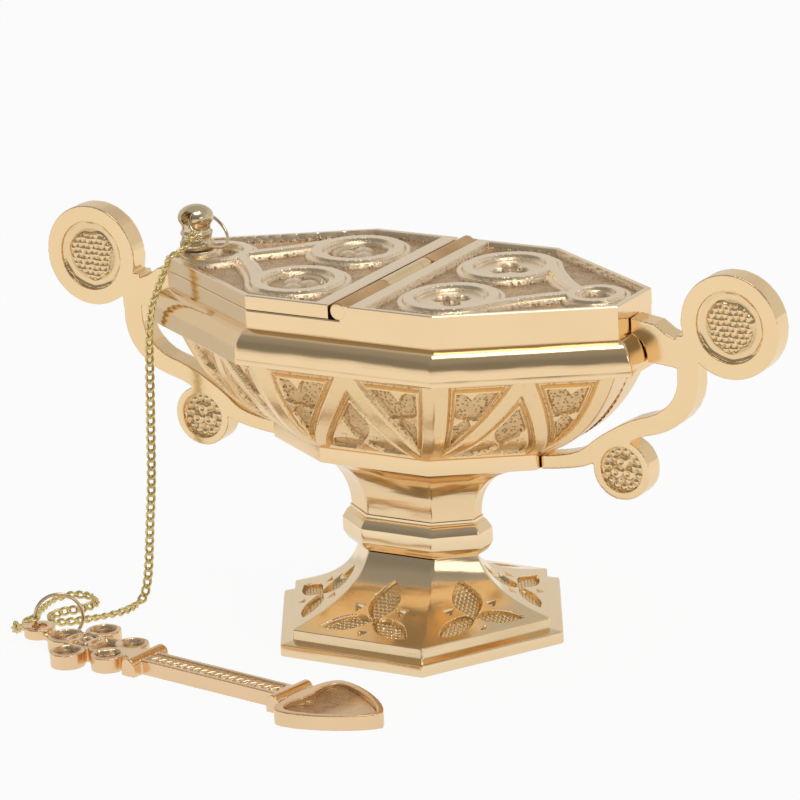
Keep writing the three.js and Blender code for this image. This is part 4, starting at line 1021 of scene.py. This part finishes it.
def blossom(dx, dz, recess):
    """Three pitted lobes and small beads round them."""
    lobe_out, lobe_radius, pit_radius = 1.9, 1.75, 0.8
    height = np.zeros_like(dx)
    for k in range(3):
        angle = math.radians(90 + 120 * k)
        away = np.hypot(dx - lobe_out * math.cos(angle), dz - lobe_out * math.sin(angle))
        height = np.maximum(height, 1.15 * dome(away, lobe_radius) - 0.6 * smooth(pit_radius - away, 0.45))
    for ring, count in ((recess - 1.1, 15), (recess - 2.5, 9)):
        turns = [2 * math.pi * (k + 0.3) / count for k in range(count)]
        centres = [(ring * math.cos(a), ring * math.sin(a)) for a in turns]
        height = np.maximum(height, 0.5 * domes(dx, dz, centres, BERRY_RADIUS))
    return np.where(np.hypot(dx, dz) < recess - 0.2, height, 0.0)


def make_handles():
    for side, word in ((-1, "left"), (1, "right")):
        data, p = refined(word + "_handle", HANDLE_VOXEL, 5)
        out, z, face = p[:, 0] * side, p[:, 2], np.sign(p[:, 1])
        sunk = np.zeros(len(p))
        for (cx, cz), recess, relief in ((DISC, DISC_RECESS, fruit), (SCROLL, SCROLL_RECESS, blossom)):
            dx, dz = out - cx, z - cz
            on_floor = (np.abs(np.abs(p[:, 1]) - HANDLE_FLOOR) < 0.25) & (np.hypot(dx, dz) < recess + 0.1)
            height = relief(dx, dz, recess)
            p[:, 1] += np.where(on_floor, face * height, 0.0)
            shade = 1 - np.clip(height / 0.6, 0, 1)
            moat = smooth(np.hypot(dx, dz) - recess * 0.74, 0.4)
            sunk = np.where(on_floor, 0.7 * shade * (1 - 0.8 * moat), sunk)
        finish_casting(data, p, sunk, HANDLE_BRASS)
        piece(word + "_handle_casting", data, "root", [word + "_handle"])


# Spoon: the places are along it from its eye and across it
KNOT_START, KNOT_END, KNOT_MIDDLE, STRAND_INSET, KNOT_DEPTH = 4.6, 32.8, 15.7, 0.75, 1.15
PLATE_LOBES = [(9.3, 0, 5), (22.1, 0, 5), (15.7, 8, 4.5), (15.7, -8, 4.5), (15.7, 0, 5.4),
               (27.3, 4.4, 4.4), (27.3, -4.4, 4.4)]
TROUGH_FLOOR, TROUGH_START, TROUGH_END, TROUGH_HALF = 3.1, 36.3, 80.2, 2.5
BAR_BEAD_START, BAR_BEAD_PITCH, BAR_BEAD_SLANT, BAR_BEAD_HALF = 37.2, 2.3, 0.5, 1.9
DISH_FLOOR, DISH_START, DISH_MIDDLE, DISH_HALF_LENGTH, DISH_HALF_WIDTH = 1.8, 86, 97, 13, 11
RIDGE_FADE, SHADE_FADE = 88, 94


def askew(s, t):
    """The side lobes of the photographed plate are a little out of line with each other."""
    new_s = s.copy()
    for across, move in ((-8, 1.3), (8, -1.3)):
        new_s += move * (1 - smooth(np.hypot(s - KNOT_MIDDLE, t - across) - 4.7, 3.0))
    return new_s


def make_spoon():
    data, p = refined("spoon", SPOON_VOXEL, 4)
    turn = math.radians(SPOON_TURN)
    dx, dy = p[:, 0] - SPOON_EYE[0], p[:, 1] - SPOON_EYE[1]
    s = dx * math.cos(turn) + dy * math.sin(turn)
    t = -dx * math.sin(turn) + dy * math.cos(turn)
    z = p[:, 2]
    plate = (np.abs(z - SPOON_TOP) < 0.3) & (s > KNOT_START) & (s < KNOT_END)
    inner, weave = np.full(len(p), -1e9), np.abs(np.hypot(s - KNOT_MIDDLE, t) - 1.9)
    for along, across, radius in PLATE_LOBES:
        away = np.hypot(s - along, t - across)
        inner = np.maximum(inner, radius - away)
        weave = np.minimum(weave, np.abs(away - radius + STRAND_INSET))
    strand = 1 - smooth(weave - 0.5, 0.3)
    field = smooth(inner - STRAND_INSET, 0.3)
    sunk = np.where(plate, field * (1 - strand), 0.0)
    z = z - KNOT_DEPTH * sunk
    z = z + np.where(plate, field * strand * 0.15, 0.0)
    trough = (np.abs(p[:, 2] - TROUGH_FLOOR) < 0.3) & (s > TROUGH_START) & (s < TROUGH_END)
    trough = trough & (np.abs(t) < TROUGH_HALF)
    phase = (s - BAR_BEAD_START - BAR_BEAD_SLANT * t) / BAR_BEAD_PITCH
    bead = dome(np.hypot((phase - np.round(phase)) * BAR_BEAD_PITCH, t / BAR_BEAD_HALF), 1.08)
    z = z + np.where(trough, 0.95 * bead, 0.0)
    sunk = np.maximum(sunk, np.where(trough, 1 - np.clip(bead * 0.95, 0, 1), 0.0))
    facing = np.empty(3 * len(p))
    data.vertices.foreach_get("normal", facing)
    dish = (np.abs(p[:, 2] - DISH_FLOOR) < 0.35) & (s > DISH_START) & (facing[2::3] > 0.6)
    bowl_depth = 1.0 - ((s - DISH_MIDDLE) / DISH_HALF_LENGTH) ** 2 - (t / DISH_HALF_WIDTH) ** 2
    ridge = np.exp(-(t / 1.3) ** 2) * (1 - smooth(s - RIDGE_FADE, 3.5))
    z = z + np.where(dish, 1.0 - 1.3 * np.clip(bowl_depth, 0, 1) + 0.9 * ridge, 0.0)
    # The dish's ground is darkened like the other sunk grounds; its extra darkening towards the neck, fading
    # out past SHADE_FADE, is painted shade
    sunk = np.maximum(sunk, np.where(dish, (0.9 - 0.5 * ridge) * (1 - 0.75 * smooth(s - SHADE_FADE, 7)), 0.0))
    s = askew(s, t)
    p[:, 0] = SPOON_EYE[0] + s * math.cos(turn) - t * math.sin(turn)
    p[:, 1] = SPOON_EYE[1] + s * math.sin(turn) + t * math.cos(turn)
    p[:, 2] = z
    finish_casting(data, p, sunk, SPOON_BRASS)
    piece("spoon_casting", data, "spoon", ["spoon"])


make_bowl()
make_knop()
make_foot()
make_lid(1)
make_lid(-1)
make_knuckles()
make_pin_ends()
make_knob()
make_handles()
make_spoon()


# Hidden fixings keep the solids' own shape
def dress_fixings():
    finishes = {"tie_rod": (FOOT_BRASS, "cast_brass"), "foot_washer": (STEEL, "steel"),
                "foot_nut": (STEEL, "steel")}
    for fixing in ("screw", "pin"):
        for side in ("left", "right"):
            finishes[f"{side}_handle_{fixing}"] = (KNUCKLE_CLEAN, "cast_brass")
    for node, (material, slot) in finishes.items():
        thing = NODES[node]
        thing.data.materials.clear()
        thing.data.materials.append(material)


dress_fixings()


# Table, world and lamps
SCENE.view_settings.view_transform = "Standard"


def make_table():
    """Nearly white to the camera. Polished faces see it with painted shade: a little darker near the boat and
    at the left.
    """
    half = 4000.0
    points = [(-half, -half, 0), (half, -half, 0), (half, half, 0), (-half, half, 0)]
    material = bpy.data.materials.new("table")
    tree = Tree(material)
    matt = tree.node("ShaderNodeBsdfDiffuse", {}, {"Color": colour(0.86, 0.86, 0.86)})
    camera = tree.node("ShaderNodeLightPath", {}, output="Is Camera Ray")
    mirror = tree.node("ShaderNodeLightPath", {}, output="Is Glossy Ray")
    x, y = tree.parts(tree.node("ShaderNodeTexCoord", output="Object"))[:2]
    away = (x * x + y * y).power(0.5)
    # Painted shade: what polished faces see of the table is darkened near the boat, standing in for its
    # shadow, and darkened again at the left
    bright = 0.86 + away.ramp(0.0, 0.2) * 0.12
    left = (x * -1.0).ramp(0.12, 0.3) * y.ramp(-0.12, -0.02)
    seen = bright * (1.0 - left * 0.35)
    share = camera * 0.93 + mirror * 0.9
    level = 1.0 - mirror * (1.0 - seen)
    glow_colour = tree.blend(level, colour(0, 0, 0), colour(1, 1, 1))
    glow = tree.node("ShaderNodeEmission", {}, {"Color": glow_colour, "Strength": 1.0})
    tree.close(tree.node("ShaderNodeMixShader", {}, {0: share, 1: matt, 2: glow}), "ShaderNodeOutputMaterial")
    table = bpy.data.objects.new("table", new_mesh("table_mesh", points, [(0, 1, 2, 3)], material, 0))
    SCENE.collection.objects.link(table)


def make_world():
    """Fairly bright behind the boat. In front it is bright at the horizon and dark above."""
    world = bpy.data.worlds.new("studio")
    SCENE.world = world
    tree = Tree(world)
    x, y, z = tree.parts(tree.node("ShaderNodeTexCoord", output="Generated"))
    low, high = z.ramp(0.05, 0.22), z.ramp(0.42, 0.7)
    front = (y * -1.0 + x * 0.1).ramp(-0.15, 0.35)
    behind = 0.72 - high * 0.2
    before = 0.85 - low * 0.62 + high * 0.08
    level = behind + front * (before - behind)
    shade = tree.blend(level, colour(0, 0, 0), colour(1.0, 0.99, 0.97))
    sky = tree.node("ShaderNodeBackground", {}, {"Color": shade, "Strength": 1.0})
    tree.close(sky, "ShaderNodeOutputWorld")


def make_lamp(name, place, target, width, height, power):
    data = bpy.data.lights.new(name, "AREA")
    data.shape, data.size, data.size_y, data.energy = "RECTANGLE", width, height, power
    lamp = bpy.data.objects.new(name, data)
    SCENE.collection.objects.link(lamp)
    lamp.location = place
    lamp.rotation_euler = (Vector(target) - Vector(place)).to_track_quat("-Z", "Y").to_euler()


make_table()
make_world()
make_lamp("overhead", (0.18, -0.12, 0.95), (0, 0, 0.05), 0.5, 0.36, 1.7)
make_lamp("right", (1.0, -0.35, 0.5), (0, 0, 0.06), 0.4, 0.3, 0.6)
